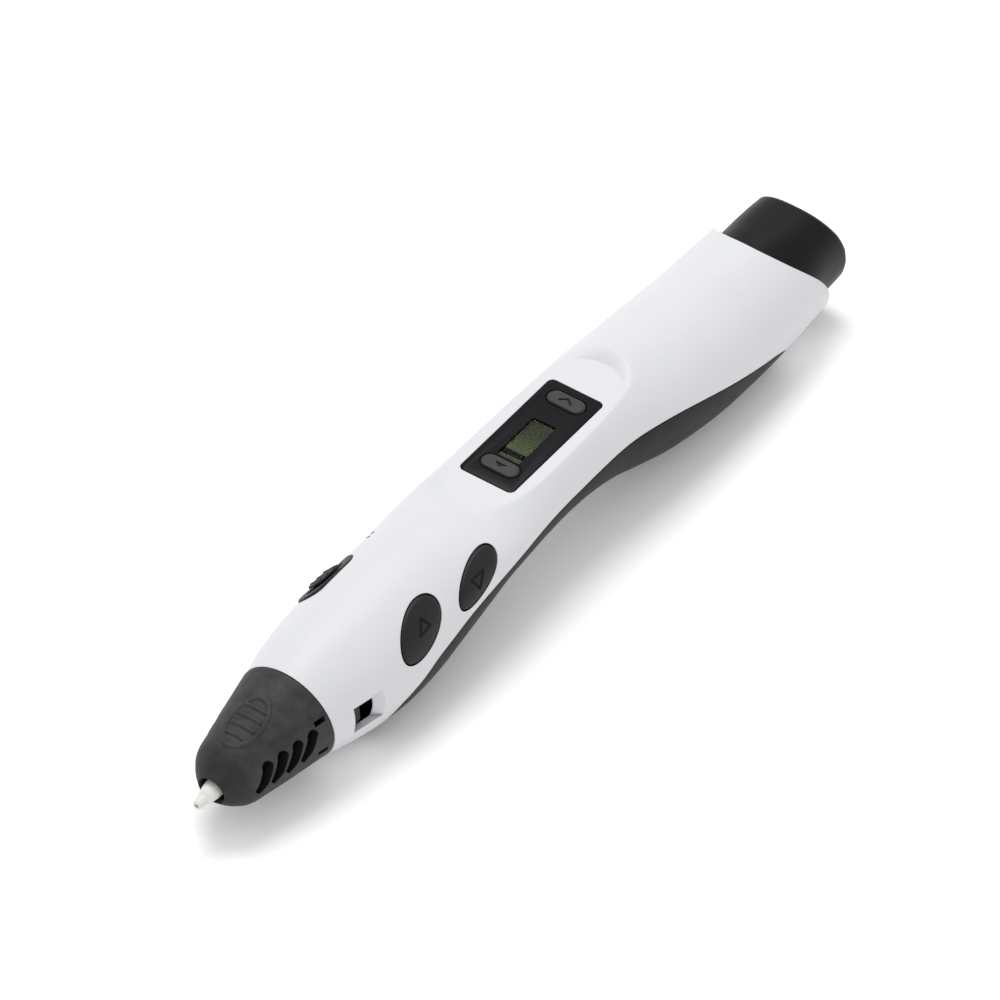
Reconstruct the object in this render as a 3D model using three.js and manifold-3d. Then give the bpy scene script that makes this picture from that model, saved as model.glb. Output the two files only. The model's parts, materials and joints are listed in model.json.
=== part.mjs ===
// Three d pen: a hand-held pen that melts plastic filament and draws with it.
// Millimetres. +X runs along the pen from the nozzle to the tail, -Y is the side with the two
// oval buttons, +Z is up. The pen lies on the plane z = 0 on its two bellies.
// Inside this file x is counted from the front of the grip; the last group moves the whole pen so
// that its origin is under its middle.

import * as THREE from 'three';
import Module from 'manifold-3d';
import { mergeVertices } from 'three/addons/utils/BufferGeometryUtils.js';

const wasm = await Module();
wasm.setup();

// ---------------------------------------------------------------- driving dimensions

const ORIGIN_X = 86.7; // middle of the pen along X
const WALL = 1.4; // shell wall
const GAP = 0.3; // gap between neighbouring pieces
const REST_Z = 0.35; // height of the flats that the pen rests on
const SEGMENTS = 32; // facets around the body

// Body stations: x, height of the widest line, half width, height above it, depth below it.
const BODY = [
  [18, 12.3, 8.4, 8.4, 8.4],
  [24.1, 12.78, 9.82, 9.82, 9.82],
  [30, 12.89, 11.15, 11.15, 11.15],
  [37, 12.75, 12.2, 12.2, 12.2],
  [45, 12.73, 12.7, 12.7, 12.68],
  [53, 13.6, 12.55, 12.0, 12.9],
  [60, 15.1, 12.2, 10.3, 12.8],
  [67, 17.0, 12.05, 8.1, 12.6],
  [73, 18.2, 11.95, 6.15, 11.3],
  [76.5, 18.3, 11.75, 6.9, 10.7],
  [80, 18.2, 11.4, 8.2, 10.3],
  [86, 18.35, 10.85, 9.6, 10.35],
  [93, 18.45, 10.5, 10.4, 10.4],
  [100, 18.35, 10.6, 10.6, 10.6],
  [107, 17.6, 11.0, 11.0, 11.0],
  [114, 16.2, 11.75, 11.75, 11.75],
  [121, 14.75, 12.3, 12.3, 12.3],
  [128, 13.7, 12.55, 12.55, 12.55],
  [136, 12.9, 12.68, 12.68, 12.65],
  [145, 12.5, 12.5, 12.5, 12.4],
  [152, 12.6, 12.35, 12.35, 12.25],
  [159, 12.95, 12.1, 12.1, 12.0],
  [166, 13.3, 11.65, 11.65, 11.5],
  [173, 13.6, 10.8, 10.8, 10.8],
];

// Nose axis: passes through z = NOSE_Z at x = 0 and rises toward the tail.
const NOSE_Z = 10.46;
const NOSE_TILT = THREE.MathUtils.degToRad(5.46);
const NOSE_REAR = 24;
const NOSE_HOLE_R = 2.5;
const NOSE_OUTLINE = [
  [2.3, 2.5],
  [2.5, 3.4],
  [3.2, 4.2],
  [4.2, 4.95],
  [5.4, 5.75],
  [6.5, 6.3],
  [15, 8.0],
  [24, 9.78],
];
const VENT_COUNT = 4;
const VENT_PITCH = 3.3;
const VENT_WIDTH = 2.3;

// Display facet: a flat in the top, tilted up toward the tail.
const FACET_X = 93.8;
const FACET_Z = 25.07;
const FACET_TILT = THREE.MathUtils.degToRad(2.25);
const PANEL_LENGTH = 26.9;
const PANEL_WIDTH = 11.3;
const PANEL_THICKNESS = 1.7;
const WINDOW = { from: -6.9, to: 3.9, halfWidth: 2.45 };
const PANEL_BUTTON = { length: 7.6, width: 3.2, up: 10.1, down: -9.1, travel: 0.4 };

// Line where the white and the black shell meet, seen from the side: x, z.
const PARTING = [
  [35.6, -2],
  [37.4, 4.5],
  [39.75, 8.1],
  [42.8, 9.65],
  [46.1, 11.0],
  [49.4, 12.5],
  [53.1, 13.5],
  [60.8, 15.1],
  [68.7, 16.4],
  [76.7, 17.5],
  [85.3, 17.9],
  [93.9, 18.0],
  [101.9, 18.7],
  [106, 18.95],
  [110.2, 18.9],
  [114.6, 18.4],
  [119.3, 17.55],
  [124.3, 16.4],
  [134.5, 13.7],
  [145.2, 10.8],
  [150.6, 9.3],
  [154.6, 6.5],
  [157.4, -2],
];

// Slanted rear edge of the white shell, seen from the side: x, z.
const REAR_EDGE = [
  [146, 40],
  [156.3, 24.7],
  [159.7, 21],
  [163.4, 17],
  [165.6, 13.5],
  [166.6, 10],
  [166.7, 7],
  [166.3, 3],
  [165.5, -10],
];

// Side buttons: both are pressed along one line, turned this far above the horizontal.
const SIDE_ANGLE = THREE.MathUtils.degToRad(28.2);
const SIDE_Z = 13.9;
const SIDE_BUTTONS = {
  feed: { x: 47.74, up: 0.24, long: 6.56, short: 3.74, turn: 28 },
  retract: { x: 63.73, up: 0.47, long: 6.5, short: 2.8, turn: 23.6 },
};
const SIDE_TRAVEL = 0.5;

// Speed slider on the far side.
const SLIDER = { x: 47, z: 12.85, angle: THREE.MathUtils.degToRad(42), travel: 3 };

// Feeder: an upright shaft beside the filament, driven through a face gear.
const FEED_X = 118;
const FEED_Y = -3.2;
const FEED_WHEEL_R = 3.3;
const FILAMENT_Y = 1.0;
const FILAMENT_Z = 16.3;
const MOTOR_Z = 9.0;
const PINION_TEETH = 12;
const GEAR_TEETH = 24;
const GEAR_MODULE = 0.35;
const IDLER = { x: 118, y: 4.4, r: 3, pivotX: 124.3, pivotY: 6.3 };

// Tail: its end face is curved the same way as the rear edge of the white shell: x, z.
const JACK_Z = 12.2;
const INLET = { y: 1.0, z: 19.3 };
const TAIL_EDGE = [
  [165, 40],
  [171.4, 23.3],
  [173.6, 18.5],
  [174.8, 15],
  [175.2, 12],
  [175, 8],
  [174.4, 4],
  [173, -10],
];
const TAIL_WALL = 1.7;

// ---------------------------------------------------------------- materials

function material(color, roughness, metalness = 0) {
  return () => new THREE.MeshStandardMaterial({ color, roughness, metalness });
}

const whiteShell = material(0xececee, 0.4);
const blackShell = material(0x3a3938, 0.45);
const capPlastic = material(0x3f3f41, 0.6);
const rubbery = material(0x2c2c2e, 0.6);
const gloss = material(0x16161a, 0.08);
const clear = material(0x8c968c, 0.05);
const ceramic = material(0xdedcd8, 0.5);
const steel = material(0xb4b6ba, 0.3, 1);
const brass = material(0xc29a55, 0.3, 1);
const board = material(0x1f5b38, 0.5);
const plastic = material(0x222224, 0.5);
const ivory = material(0xe4ddcb, 0.5);
const tubing = material(0xe9e9e4, 0.4);

// ---------------------------------------------------------------- solids

function solid(geometry) {
  const bare = geometry.index ? geometry.toNonIndexed() : geometry.clone();
  bare.deleteAttribute('normal');
  bare.deleteAttribute('uv');
  const merged = mergeVertices(bare, 1e-4);
  const corners = merged.index.array;
  const kept = [];
  for (let i = 0; i < corners.length; i += 3) {
    const [a, b, c] = corners.slice(i, i + 3);
    if (a !== b && b !== c && c !== a) kept.push(a, b, c);
  }
  return new wasm.Manifold(
    new wasm.Mesh({
      numProp: 3,
      vertProperties: new Float32Array(merged.attributes.position.array),
      triVerts: new Uint32Array(kept),
    }),
  );
}

function geometryOf(body) {
  const mesh = body.getMesh();
  const geometry = new THREE.BufferGeometry();
  const positions = new Float32Array(mesh.vertProperties);
  geometry.setAttribute('position', new THREE.BufferAttribute(positions, 3));
  geometry.setIndex(new THREE.BufferAttribute(new Uint32Array(mesh.triVerts), 1));
  geometry.computeVertexNormals();
  return geometry;
}

function joined(...bodies) {
  return bodies.reduce((whole, next) => whole.add(next));
}

// Right-handed frame whose z axis is `normal` and whose x axis is as near +X as it can be; along the
// pen itself the x axis points down and the y axis is +Y.
function frameAt(origin, normal) {
  const z = new THREE.Vector3(...normal).normalize();
  const y = new THREE.Vector3().crossVectors(z, new THREE.Vector3(1, 0, 0));
  if (y.length() < 1e-6) y.set(0, 1, 0);
  y.normalize();
  const x = new THREE.Vector3().crossVectors(y, z);
  return new THREE.Matrix4().makeBasis(x, y, z).setPosition(...origin);
}

// The same frame with its origin moved across its own plane.
function shifted(frame, x, y) {
  return frame.clone().multiply(new THREE.Matrix4().makeTranslation(x, y, 0));
}

function placed(geometry, frame) {
  return solid(geometry).transform(frame.toArray());
}

const FLAT = new THREE.Matrix4();

// Box between two corners, given in a frame.
function box(low, high, frame = FLAT) {
  const size = high.map((v, i) => v - low[i]);
  const geometry = new THREE.BoxGeometry(...size);
  geometry.translate(...high.map((v, i) => (v + low[i]) / 2));
  return placed(geometry, frame);
}

// Prism over a shape, from height `low` to `high` of a frame.
function prism(shape, low, high, frame = FLAT, curveSegments = 2) {
  const options = { depth: high - low, bevelEnabled: false, curveSegments };
  const geometry = new THREE.ExtrudeGeometry(shape, options);
  geometry.translate(0, 0, low);
  return placed(geometry, frame);
}

// Solid turned about the z axis of a frame from [radius, height] points.
function turned(points, frame = FLAT, segments = 16) {
  const profile = points.map(([r, h]) => new THREE.Vector2(r, h));
  const geometry = new THREE.LatheGeometry(profile, segments);
  geometry.rotateX(Math.PI / 2);
  return placed(geometry, frame);
}

function rod(radius, low, high, frame = FLAT, segments = 16) {
  return turned([[0, low], [radius, low], [radius, high], [0, high]], frame, segments);
}

function ring(inner, outer, low, high, frame = FLAT, segments = 16) {
  const points = [[inner, low], [outer, low], [outer, high], [inner, high], [inner, low]];
  return turned(points, frame, segments);
}

function ellipseShape(long, short, turnDegrees = 0) {
  const shape = new THREE.Shape();
  const turn = THREE.MathUtils.degToRad(turnDegrees);
  shape.absellipse(0, 0, long, short, 0, Math.PI * 2, false, turn);
  return shape;
}

// Rounded rectangle around a middle point.
function roundedShape(cx, cy, length, width, corner) {
  const x = cx - length / 2;
  const y = cy - width / 2;
  const shape = new THREE.Shape();
  shape.moveTo(x + corner, y);
  shape.lineTo(x + length - corner, y);
  shape.absarc(x + length - corner, y + corner, corner, -Math.PI / 2, 0);
  shape.lineTo(x + length, y + width - corner);
  shape.absarc(x + length - corner, y + width - corner, corner, 0, Math.PI / 2);
  shape.lineTo(x + corner, y + width);
  shape.absarc(x + corner, y + width - corner, corner, Math.PI / 2, Math.PI);
  shape.lineTo(x, y + corner);
  shape.absarc(x + corner, y + corner, corner, Math.PI, Math.PI * 1.5);
  return shape;
}

function tube(points, outer, inner) {
  const path = new THREE.CatmullRomCurve3(points.map((p) => new THREE.Vector3(...p)));
  const circle = (r) => {
    const shape = new THREE.Shape();
    shape.absarc(0, 0, r, 0, Math.PI * 2);
    return shape;
  };
  const options = { extrudePath: path, steps: 10, bevelEnabled: false, curveSegments: 4 };
  const shape = circle(outer);
  shape.holes.push(circle(inner));
  return solid(new THREE.ExtrudeGeometry(shape, options));
}

// ---------------------------------------------------------------- body surface

// Smooth value of one station column at x.
function station(x, column) {
  const last = BODY.length - 1;
  const i = Math.min(Math.max(BODY.findIndex((row) => row[0] > x) - 1, 0), last - 1);
  const k = x >= BODY[last][0] ? last - 1 : i;
  const slopeAt = (j) => {
    const a = BODY[Math.max(j - 1, 0)];
    const b = BODY[Math.min(j + 1, last)];
    return (b[column] - a[column]) / (b[0] - a[0]);
  };
  const span = BODY[k + 1][0] - BODY[k][0];
  const t = (x - BODY[k][0]) / span;
  const t2 = t * t;
  const t3 = t2 * t;
  return (
    (2 * t3 - 3 * t2 + 1) * BODY[k][column] +
    (t3 - 2 * t2 + t) * span * slopeAt(k) +
    (3 * t2 - 2 * t3) * BODY[k + 1][column] +
    (t3 - t2) * span * slopeAt(k + 1)
  );
}

function bodyRing(x, inset = 0) {
  return {
    x,
    z: station(x, 1),
    wide: station(x, 2) - inset,
    over: station(x, 3) - inset,
    under: station(x, 4) - inset,
  };
}

// Closed solid through a list of rings: a turned blank whose rings are moved to their stations.
function loft(rings) {
  const profile = [new THREE.Vector2(0, 0)];
  rings.forEach((_, i) => profile.push(new THREE.Vector2(1, i)));
  profile.push(new THREE.Vector2(0, rings.length - 1));
  const geometry = new THREE.LatheGeometry(profile, SEGMENTS);
  const position = geometry.attributes.position;
  for (let i = 0; i < position.count; i += 1) {
    const r = rings[Math.round(position.getY(i))];
    const side = -position.getX(i);
    const up = position.getZ(i);
    position.setXYZ(i, r.x, side * r.wide, r.z + up * (up > 0 ? r.over : r.under));
  }
  return solid(geometry);
}

function bodyBetween(from, to, inset, step = 6) {
  const count = Math.ceil((to - from) / step);
  const rings = [];
  for (let i = 0; i <= count; i += 1) {
    rings.push(bodyRing(from + ((to - from) * i) / count, inset));
  }
  return loft(rings);
}

const noseFrame = frameAt([0, 0, NOSE_Z], [Math.cos(NOSE_TILT), 0, Math.sin(NOSE_TILT)]);
const facetFrame = new THREE.Matrix4()
  .makeRotationY(-FACET_TILT)
  .setPosition(FACET_X, 0, FACET_Z);
const sideNormal = [0, -Math.cos(SIDE_ANGLE), Math.sin(SIDE_ANGLE)];
const sideFrame = frameAt([0, 0, SIDE_Z], sideNormal);
const sliderNormal = [0, Math.cos(SLIDER.angle), Math.sin(SLIDER.angle)];
const sliderFrame = frameAt([SLIDER.x, 0, SLIDER.z], sliderNormal);
const tailFrame = frameAt([0, 0, JACK_Z], [1, 0, 0]);
const inletFrame = frameAt([0, INLET.y, INLET.z], [1, 0, 0]);
const motorFrame = frameAt([0, FEED_Y, MOTOR_Z], [1, 0, 0]);
const feedFrame = frameAt([FEED_X, FEED_Y, 0], [0, 0, 1]);
const idlerFrame = frameAt([IDLER.x, IDLER.y, 0], [0, 0, 1]);
const pivotFrame = frameAt([IDLER.pivotX, IDLER.pivotY, 0], [0, 0, 1]);

// Space above the display facet, `drop` below its plane.
function aboveFacet(drop) {
  const rear = 14.2 + (drop > 0 ? -WALL * 0.4 : 0);
  const shape = new THREE.Shape();
  shape.moveTo(-20.6, -3.5);
  shape.lineTo(-18.9, -6.2);
  shape.lineTo(-15, -8.6);
  shape.lineTo(6, -9.6);
  shape.lineTo(rear, -7.5);
  shape.absarc(rear, 0, 7.5, -Math.PI / 2, Math.PI / 2);
  shape.lineTo(6, 9.6);
  shape.lineTo(-15, 8.6);
  shape.lineTo(-18.9, 6.2);
  shape.lineTo(-20.6, 3.5);
  return prism(shape, -drop, 12, facetFrame, 7);
}

// Everything behind an edge that is drawn in the side view.
function behind(edge, shift = 0) {
  const shape = new THREE.Shape();
  shape.moveTo(220, edge[0][1]);
  edge.forEach(([x, z]) => shape.lineTo(x + shift, z));
  shape.lineTo(220, edge[edge.length - 1][1]);
  return prism(shape, -20, 20, frameSideways());
}

// Frame for side-view outlines: shape x = X, shape y = Z, extruded along Y.
function frameSideways() {
  return new THREE.Matrix4().makeBasis(
    new THREE.Vector3(1, 0, 0),
    new THREE.Vector3(0, 0, 1),
    new THREE.Vector3(0, -1, 0),
  );
}

function belowParting(drop) {
  const middle = 95;
  const shape = new THREE.Shape();
  PARTING.forEach(([x, z], i) => {
    const inward = Math.abs(x - middle) > 53 ? Math.sign(middle - x) * drop : 0;
    const low = z < 0 ? z : z - drop;
    if (i === 0) shape.moveTo(x + inward, low);
    else shape.lineTo(x + inward, low);
  });
  return prism(shape, -20, 20, frameSideways());
}

// ---------------------------------------------------------------- shells

const outerBody = bodyBetween(22.8, 173, 0);
const innerBody = bodyBetween(22, 173.8, WALL, 8.5).subtract(aboveFacet(WALL));
const shellBlank = outerBody
  .subtract(aboveFacet(0))
  .subtract(innerBody)
  .subtract(rod(20, 0, NOSE_REAR + GAP, noseFrame))
  .subtract(behind(REAR_EDGE));

const sideAt = (button) => shifted(sideFrame, button.x, button.up);

// Oval prism around a side button, wider than the button by `margin`.
function ovalAround(button, margin, low, high) {
  const shape = ellipseShape(button.long + margin, button.short + margin, button.turn);
  return prism(shape, low, high, sideAt(button), 12);
}

const sliderShape = (margin) =>
  roundedShape(0, 0, 13.5 + 2 * margin, 6 + 2 * margin, 2.99 + margin);
const panelShape = (margin, corner) =>
  roundedShape(0, 0, PANEL_LENGTH + 2 * margin, PANEL_WIDTH + 2 * margin, corner);

// Window that shows the nose cap's hook, one a side.
function snapWindow(side) {
  const shape = roundedShape(31.9, 12.9, 6.8, 5.6, 1.6);
  return prism(shape, side > 0 ? -20 : 8, side > 0 ? -8 : 20, frameSideways());
}

// Flats under the two bellies that the pen rests on.
const restPads = joined(box([36, -6, -3], [54, 6, REST_Z]), box([126, -6, -3], [156, 6, REST_Z]));

const screwSpots = [
  { name: 'screw_front', x: 60, z: 3.4 },
  { name: 'screw_rear', x: 114, z: 5.6 },
];
const screwFrame = (spot) => frameAt([spot.x, 0, spot.z], [0, 0, -1]);

const upperShell = shellBlank
  .subtract(belowParting(0))
  .subtract(prism(panelShape(GAP, 1.3), -6, 6, facetFrame))
  .subtract(ovalAround(SIDE_BUTTONS.feed, GAP, 4, 20))
  .subtract(ovalAround(SIDE_BUTTONS.retract, GAP, 4, 20))
  .subtract(prism(sliderShape(GAP), 6, 20, sliderFrame))
  .subtract(snapWindow(1))
  .subtract(snapWindow(-1));

let lowerShell = shellBlank.intersect(belowParting(GAP)).subtract(restPads);
for (const spot of screwSpots) {
  lowerShell = lowerShell
    .add(rod(3.2, -4.2, -0.6, screwFrame(spot)).subtract(rod(1.1, -5, 5, screwFrame(spot))))
    .subtract(rod(2.5, -0.8, 6, screwFrame(spot)))
    .subtract(rod(1.1, -5, 5, screwFrame(spot)));
}

// ---------------------------------------------------------------- nose

const noseProfile = [[0, 2.3], ...NOSE_OUTLINE.map(([s, r]) => [r, s]), [0, NOSE_REAR]];
const noseHollow = [[0, 4.4], [4.3, 4.4], [5.0, 6.6], [6.6, 15], [8.1, 24.5], [0, 24.5]];
const noseOuter = turned(noseProfile, noseFrame, SEGMENTS);
const noseInner = turned(noseHollow, noseFrame, SEGMENTS);

// Slanted vent: a slot that leans back as it goes up, `index` counted from the tip.
function vent(index, side) {
  const shape = new THREE.Shape();
  const half = VENT_WIDTH / 2;
  const lean = 2.6;
  const low = -1.9;
  const high = 2.5;
  shape.moveTo(low * 0.5 - 0.1, low);
  shape.lineTo(half + low * 0.5 + 0.6, low + 1.3);
  shape.lineTo(half + lean * 0.5, high);
  shape.absarc(lean * 0.5, high, half, 0, Math.PI);
  shape.lineTo(-half + low * 0.5 + 0.1, low + 1.0);
  const frame = frameSideways().setPosition(8.4 + VENT_PITCH * index, 0, 11.75 + 0.3 * index);
  return prism(shape, side > 0 ? -14 : 1, side > 0 ? -1 : 14, frame, 4);
}

// Snap arm that reaches from the cap into the shell's window.
function snapArm(side) {
  const arm = box([-2.1, 6.9, 22.5], [3.1, 7.55, 33.6], noseFrame);
  const hook = box([-1.4, 7.4, 29.6], [2.4, 9.7, 31.4], noseFrame);
  const both = arm.add(hook);
  return side > 0 ? both.intersect(box([0, 0, -5], [60, 20, 40])) : both.mirror([0, 1, 0]);
}

function tongueNotch(angleDegrees, side) {
  const a = THREE.MathUtils.degToRad(angleDegrees);
  const frame = frameAt([0, 0, 12.5], [0, side * Math.cos(a), Math.sin(a)]);
  return box([20.6, -0.5, 6], [22.9, 0.5, 14], frame);
}

// Raised oval finger pad on top of the cap.
function fingerPad() {
  const skin = turned([[0, 4], [6.4, 6.5], [8.16, 15], [9.6, 22], [0, 22]], noseFrame, SEGMENTS);
  return prism(ellipseShape(5.6, 3.3), 14, 30, shifted(FLAT, 13, 0), 6).intersect(skin);
}

let noseCap = noseOuter
  .subtract(noseInner)
  .add(fingerPad().subtract(noseInner))
  .add(ring(6.9, 8.0, 22.6, 27, noseFrame, SEGMENTS))
  .add(snapArm(1))
  .add(snapArm(-1))
  .subtract(rod(NOSE_HOLE_R, 0, 6, noseFrame));
for (let i = 0; i < VENT_COUNT; i += 1) {
  noseCap = noseCap.subtract(vent(i, 1)).subtract(vent(i, -1));
}
for (const side of [1, -1]) {
  noseCap = noseCap.subtract(tongueNotch(27.5, side)).subtract(tongueNotch(-12.7, side));
}

// Nozzle from the outlet back over the stepped tip, then forward again inside.
const nozzleOutside = [
  [0.4, -1.8],
  [0.75, -1.8],
  [0.95, -1.5],
  [1.05, 0.2],
  [1.4, 0.6],
  [1.7, 2.4],
  [2.0, 6.0],
  [2.9, 7.0],
  [2.9, 9.0],
];
const nozzleInside = [[1.0, 9.0], [1.0, 0.4], [0.4, -0.2], [0.4, -1.8]];
const nozzle = turned([...nozzleOutside, ...nozzleInside], noseFrame);
const meltTube = ring(1.0, 1.7, 9.3, 33, noseFrame);
const heaterSleeve = ring(1.9, 3.6, 9.8, 20, noseFrame);
const thermistor = turned(
  [[0, 12.4], [0.4, 12.5], [0.65, 13], [0.65, 15.4], [0.4, 15.9], [0, 16]],
  shifted(noseFrame, 0, 4.4),
  10,
);
const holder = ring(1.9, 6.6, 24.5, 31, noseFrame)
  .add(ring(1.9, 8.6, 31.0, 33.0, noseFrame, 24))
  .add(ring(1.9, 6.7, 30.9, 31.1, noseFrame))
  .intersect(box([0, -6.6, -5], [60, 6.6, 40]));

// ---------------------------------------------------------------- display panel

function stadium(cx, margin) {
  const { width, length } = PANEL_BUTTON;
  const corner = width / 2 - 0.01 + margin;
  return roundedShape(cx, 0, width + 2 * margin, length + 2 * margin, corner);
}
const windowShape = (margin) =>
  roundedShape(
    (WINDOW.from + WINDOW.to) / 2,
    0,
    WINDOW.to - WINDOW.from + 2 * margin,
    2 * WINDOW.halfWidth + 2 * margin,
    0.4,
  );

const bezel = prism(panelShape(0, 1), -PANEL_THICKNESS, 0, facetFrame)
  .add(prism(panelShape(1.2, 1.5), -2.5, 0.01 - PANEL_THICKNESS, facetFrame))
  .subtract(prism(stadium(PANEL_BUTTON.up, 0.15), -5, 3, facetFrame))
  .subtract(prism(stadium(PANEL_BUTTON.down, 0.15), -5, 3, facetFrame))
  .subtract(prism(windowShape(0), -5, 3, facetFrame));
const lens = prism(windowShape(-0.05), -1.2, -0.02, facetFrame);
const panelButton = (cx) => prism(stadium(cx, 0), -2.7, 0.4, facetFrame);
const lcd = prism(roundedShape(-0.9, 0, 12.4, 9.6, 0.3), -4.6, -2.9, facetFrame);
const mainBoard = prism(roundedShape(0.4, 0, 31, 14, 1), -6.4, -5.4, facetFrame);
const panelSwitch = (cx) =>
  box([cx - 1.8, -2.6, -5.3], [cx + 1.8, 2.6, -3.4], facetFrame)
    .subtract(rod(0.9, -4.9, -3, shifted(facetFrame, cx, 0)));
const panelPlunger = (cx) => rod(0.7, -4.4, -2.8, shifted(facetFrame, cx, 0));

// ---------------------------------------------------------------- side buttons

const buttonSkin = bodyBetween(36, 76, -0.45, 4);
const sideButton = (button) =>
  ovalAround(button, 0, 8.8, 16).intersect(buttonSkin).add(ovalAround(button, 0.5, 8.3, 8.9));
const sideSwitch = (button) =>
  box([-3, -2.4, 5.2], [3, 2.4, 7.5], sideAt(button)).subtract(rod(1.2, 5.8, 9, sideAt(button)));
const sidePlunger = (button) => rod(1.0, 6.5, 8.2, sideAt(button));
const sideBoard = prism(roundedShape(56.2, 0.2, 28, 6.4, 0.8), 4.1, 5.1, sideFrame);

// ---------------------------------------------------------------- speed slider

const sliderSkin = bodyBetween(36, 60, -0.05, 4);
const track = prism(sliderShape(0), 9.9, 16, sliderFrame)
  .intersect(sliderSkin)
  .intersect(prism(sliderShape(0), 9, 12.62, sliderFrame))
  .add(prism(sliderShape(0.9), 9.3, 10.1, sliderFrame))
  .subtract(prism(roundedShape(0, 0, 9.6, 2.0, 0.99), 5, 16, sliderFrame));
let knob = prism(roundedShape(0, 0, 6.4, 4.2, 1.6), 12.85, 13.25, sliderFrame)
  .add(box([-1.4, -0.65, 8.6], [1.4, 0.65, 13], sliderFrame));
for (const x of [-1.8, 0, 1.8]) {
  knob = knob.add(box([x - 0.3, -1.9, 13.1], [x + 0.3, 1.9, 13.45], sliderFrame));
}
const slidePot = box([-8, -2.8, 4.6], [8, 2.8, 7.9], sliderFrame)
  .subtract(box([-6, -1.3, 5.6], [6, 1.3, 9], sliderFrame));
const wiper = box([-1.4, -1.0, 5.9], [1.4, 1.0, 8.4], sliderFrame);

// ---------------------------------------------------------------- feeder

const bodyInside = bodyBetween(80, 158, WALL + 0.5, 6);
const feederFrame = joined(
  box([111, -9, 12.8], [128.6, 9, 13.8]),
  box([111, -9, 18.8], [128.6, 9, 19.8]),
  box([126.6, -9, 4], [128.6, 9, 19.8]),
  box([112.2, 7.9, 13.6], [115, 8.9, 19]),
)
  .intersect(bodyInside)
  .subtract(rod(1.08, 10, 24, feedFrame))
  .subtract(rod(0.95, 10, 24, pivotFrame))
  .subtract(rod(1.5, 124, 130, motorFrame))
  .subtract(rod(1.75, 124, 130, frameAt([0, FILAMENT_Y, 16.8], [1, 0, 0])));

const gearbox = rod(5, 129, 141.4, motorFrame, 24);
const motorProfile = [[0, 141.7], [4.9, 141.7], [4.9, 150.6], [3, 152], [1.2, 152.6], [0, 152.6]];
const motorCan = turned(motorProfile, motorFrame, 24);

// Pinion on the motor's shaft; its teeth are thinned for running play.
const pinionRoot = (PINION_TEETH / 2) * GEAR_MODULE - 0.45;
const pinionTip = (PINION_TEETH / 2) * GEAR_MODULE + 0.33;
let pinion = rod(pinionRoot, 121.6, 122.9, motorFrame, PINION_TEETH * 2)
  .add(rod(1.0, 121.6, 128.9, motorFrame));
for (let i = 0; i < PINION_TEETH; i += 1) {
  const tooth = new THREE.Shape();
  tooth.moveTo(-0.27, pinionRoot - 0.25);
  tooth.lineTo(0.27, pinionRoot - 0.25);
  tooth.lineTo(0.12, pinionTip);
  tooth.lineTo(-0.12, pinionTip);
  const turn = new THREE.Matrix4().makeRotationZ((i * 2 * Math.PI) / PINION_TEETH);
  pinion = pinion.add(prism(tooth, 121.7, 122.8, motorFrame.clone().multiply(turn)));
}

// Face gear on the upright shaft, teeth down onto the pinion.
const gearPlane = MOTOR_Z + (PINION_TEETH / 2) * GEAR_MODULE;
let faceGear = ring(1.06, 5.1, gearPlane + 0.45, 12.5, feedFrame, 24);
for (let i = 0; i < GEAR_TEETH; i += 1) {
  const angle = ((i + 0.5) * 2 * Math.PI) / GEAR_TEETH;
  const turn = new THREE.Matrix4().makeRotationZ(angle);
  const tooth = box([3.7, -0.17, gearPlane - 0.24], [5.0, 0.17, gearPlane + 0.6]);
  faceGear = faceGear.add(tooth.transform(feedFrame.clone().multiply(turn).toArray()));
}
const feedShaft = rod(1.0, 10.3, 21, feedFrame);
const wheelGroove = [[3.1, 15.9], [3.6, 15.5], [3.6, 17.1], [3.1, 16.7], [3.1, 15.9]];
const feedWheel = ring(1.06, FEED_WHEEL_R, 14.2, 18.4, feedFrame, 24)
  .subtract(turned(wheelGroove, feedFrame, 24));

// Pressure roller on its sprung arm.
const armLine = new THREE.Shape();
armLine.moveTo(IDLER.pivotX, IDLER.pivotY + 1.9);
armLine.lineTo(IDLER.pivotX + 1.6, IDLER.pivotY);
armLine.lineTo(IDLER.pivotX, IDLER.pivotY - 1.8);
armLine.lineTo(IDLER.x, IDLER.y - 1.9);
armLine.lineTo(IDLER.x - 5.2, IDLER.y - 0.4);
armLine.lineTo(IDLER.x - 5.2, IDLER.y + 1.6);
armLine.lineTo(IDLER.x, IDLER.y + 1.9);
const idlerArm = prism(armLine, 14.1, 14.9)
  .add(rod(1.8, 14.1, 18.2, pivotFrame))
  .add(box([IDLER.x - 5.2, IDLER.y + 0.4, 14.1], [IDLER.x - 3.9, IDLER.y + 1.6, 17.6]))
  .subtract(rod(1.0, 12, 20, pivotFrame))
  .subtract(rod(1.25, 12, 20, idlerFrame));
const idlerPivot = rod(0.87, 12.6, 20.1, pivotFrame);
const idlerAxle = rod(1.15, 14.1, 18.3, idlerFrame);
const idlerRoller = ring(1.22, IDLER.r, 15.1, 17.5, idlerFrame, 24);
const springFrame = frameAt([IDLER.x - 4.5, 0, 15.9], [0, 1, 0]);
const springProfile = [
  [0.8, 6.2],
  [1.3, 6.35],
  [0.9, 6.8],
  [1.3, 7.1],
  [0.9, 7.5],
  [1.2, 7.7],
  [0.5, 7.7],
  [0.5, 6.2],
  [0.8, 6.2],
];
const spring = turned(springProfile, springFrame, 12);

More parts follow.
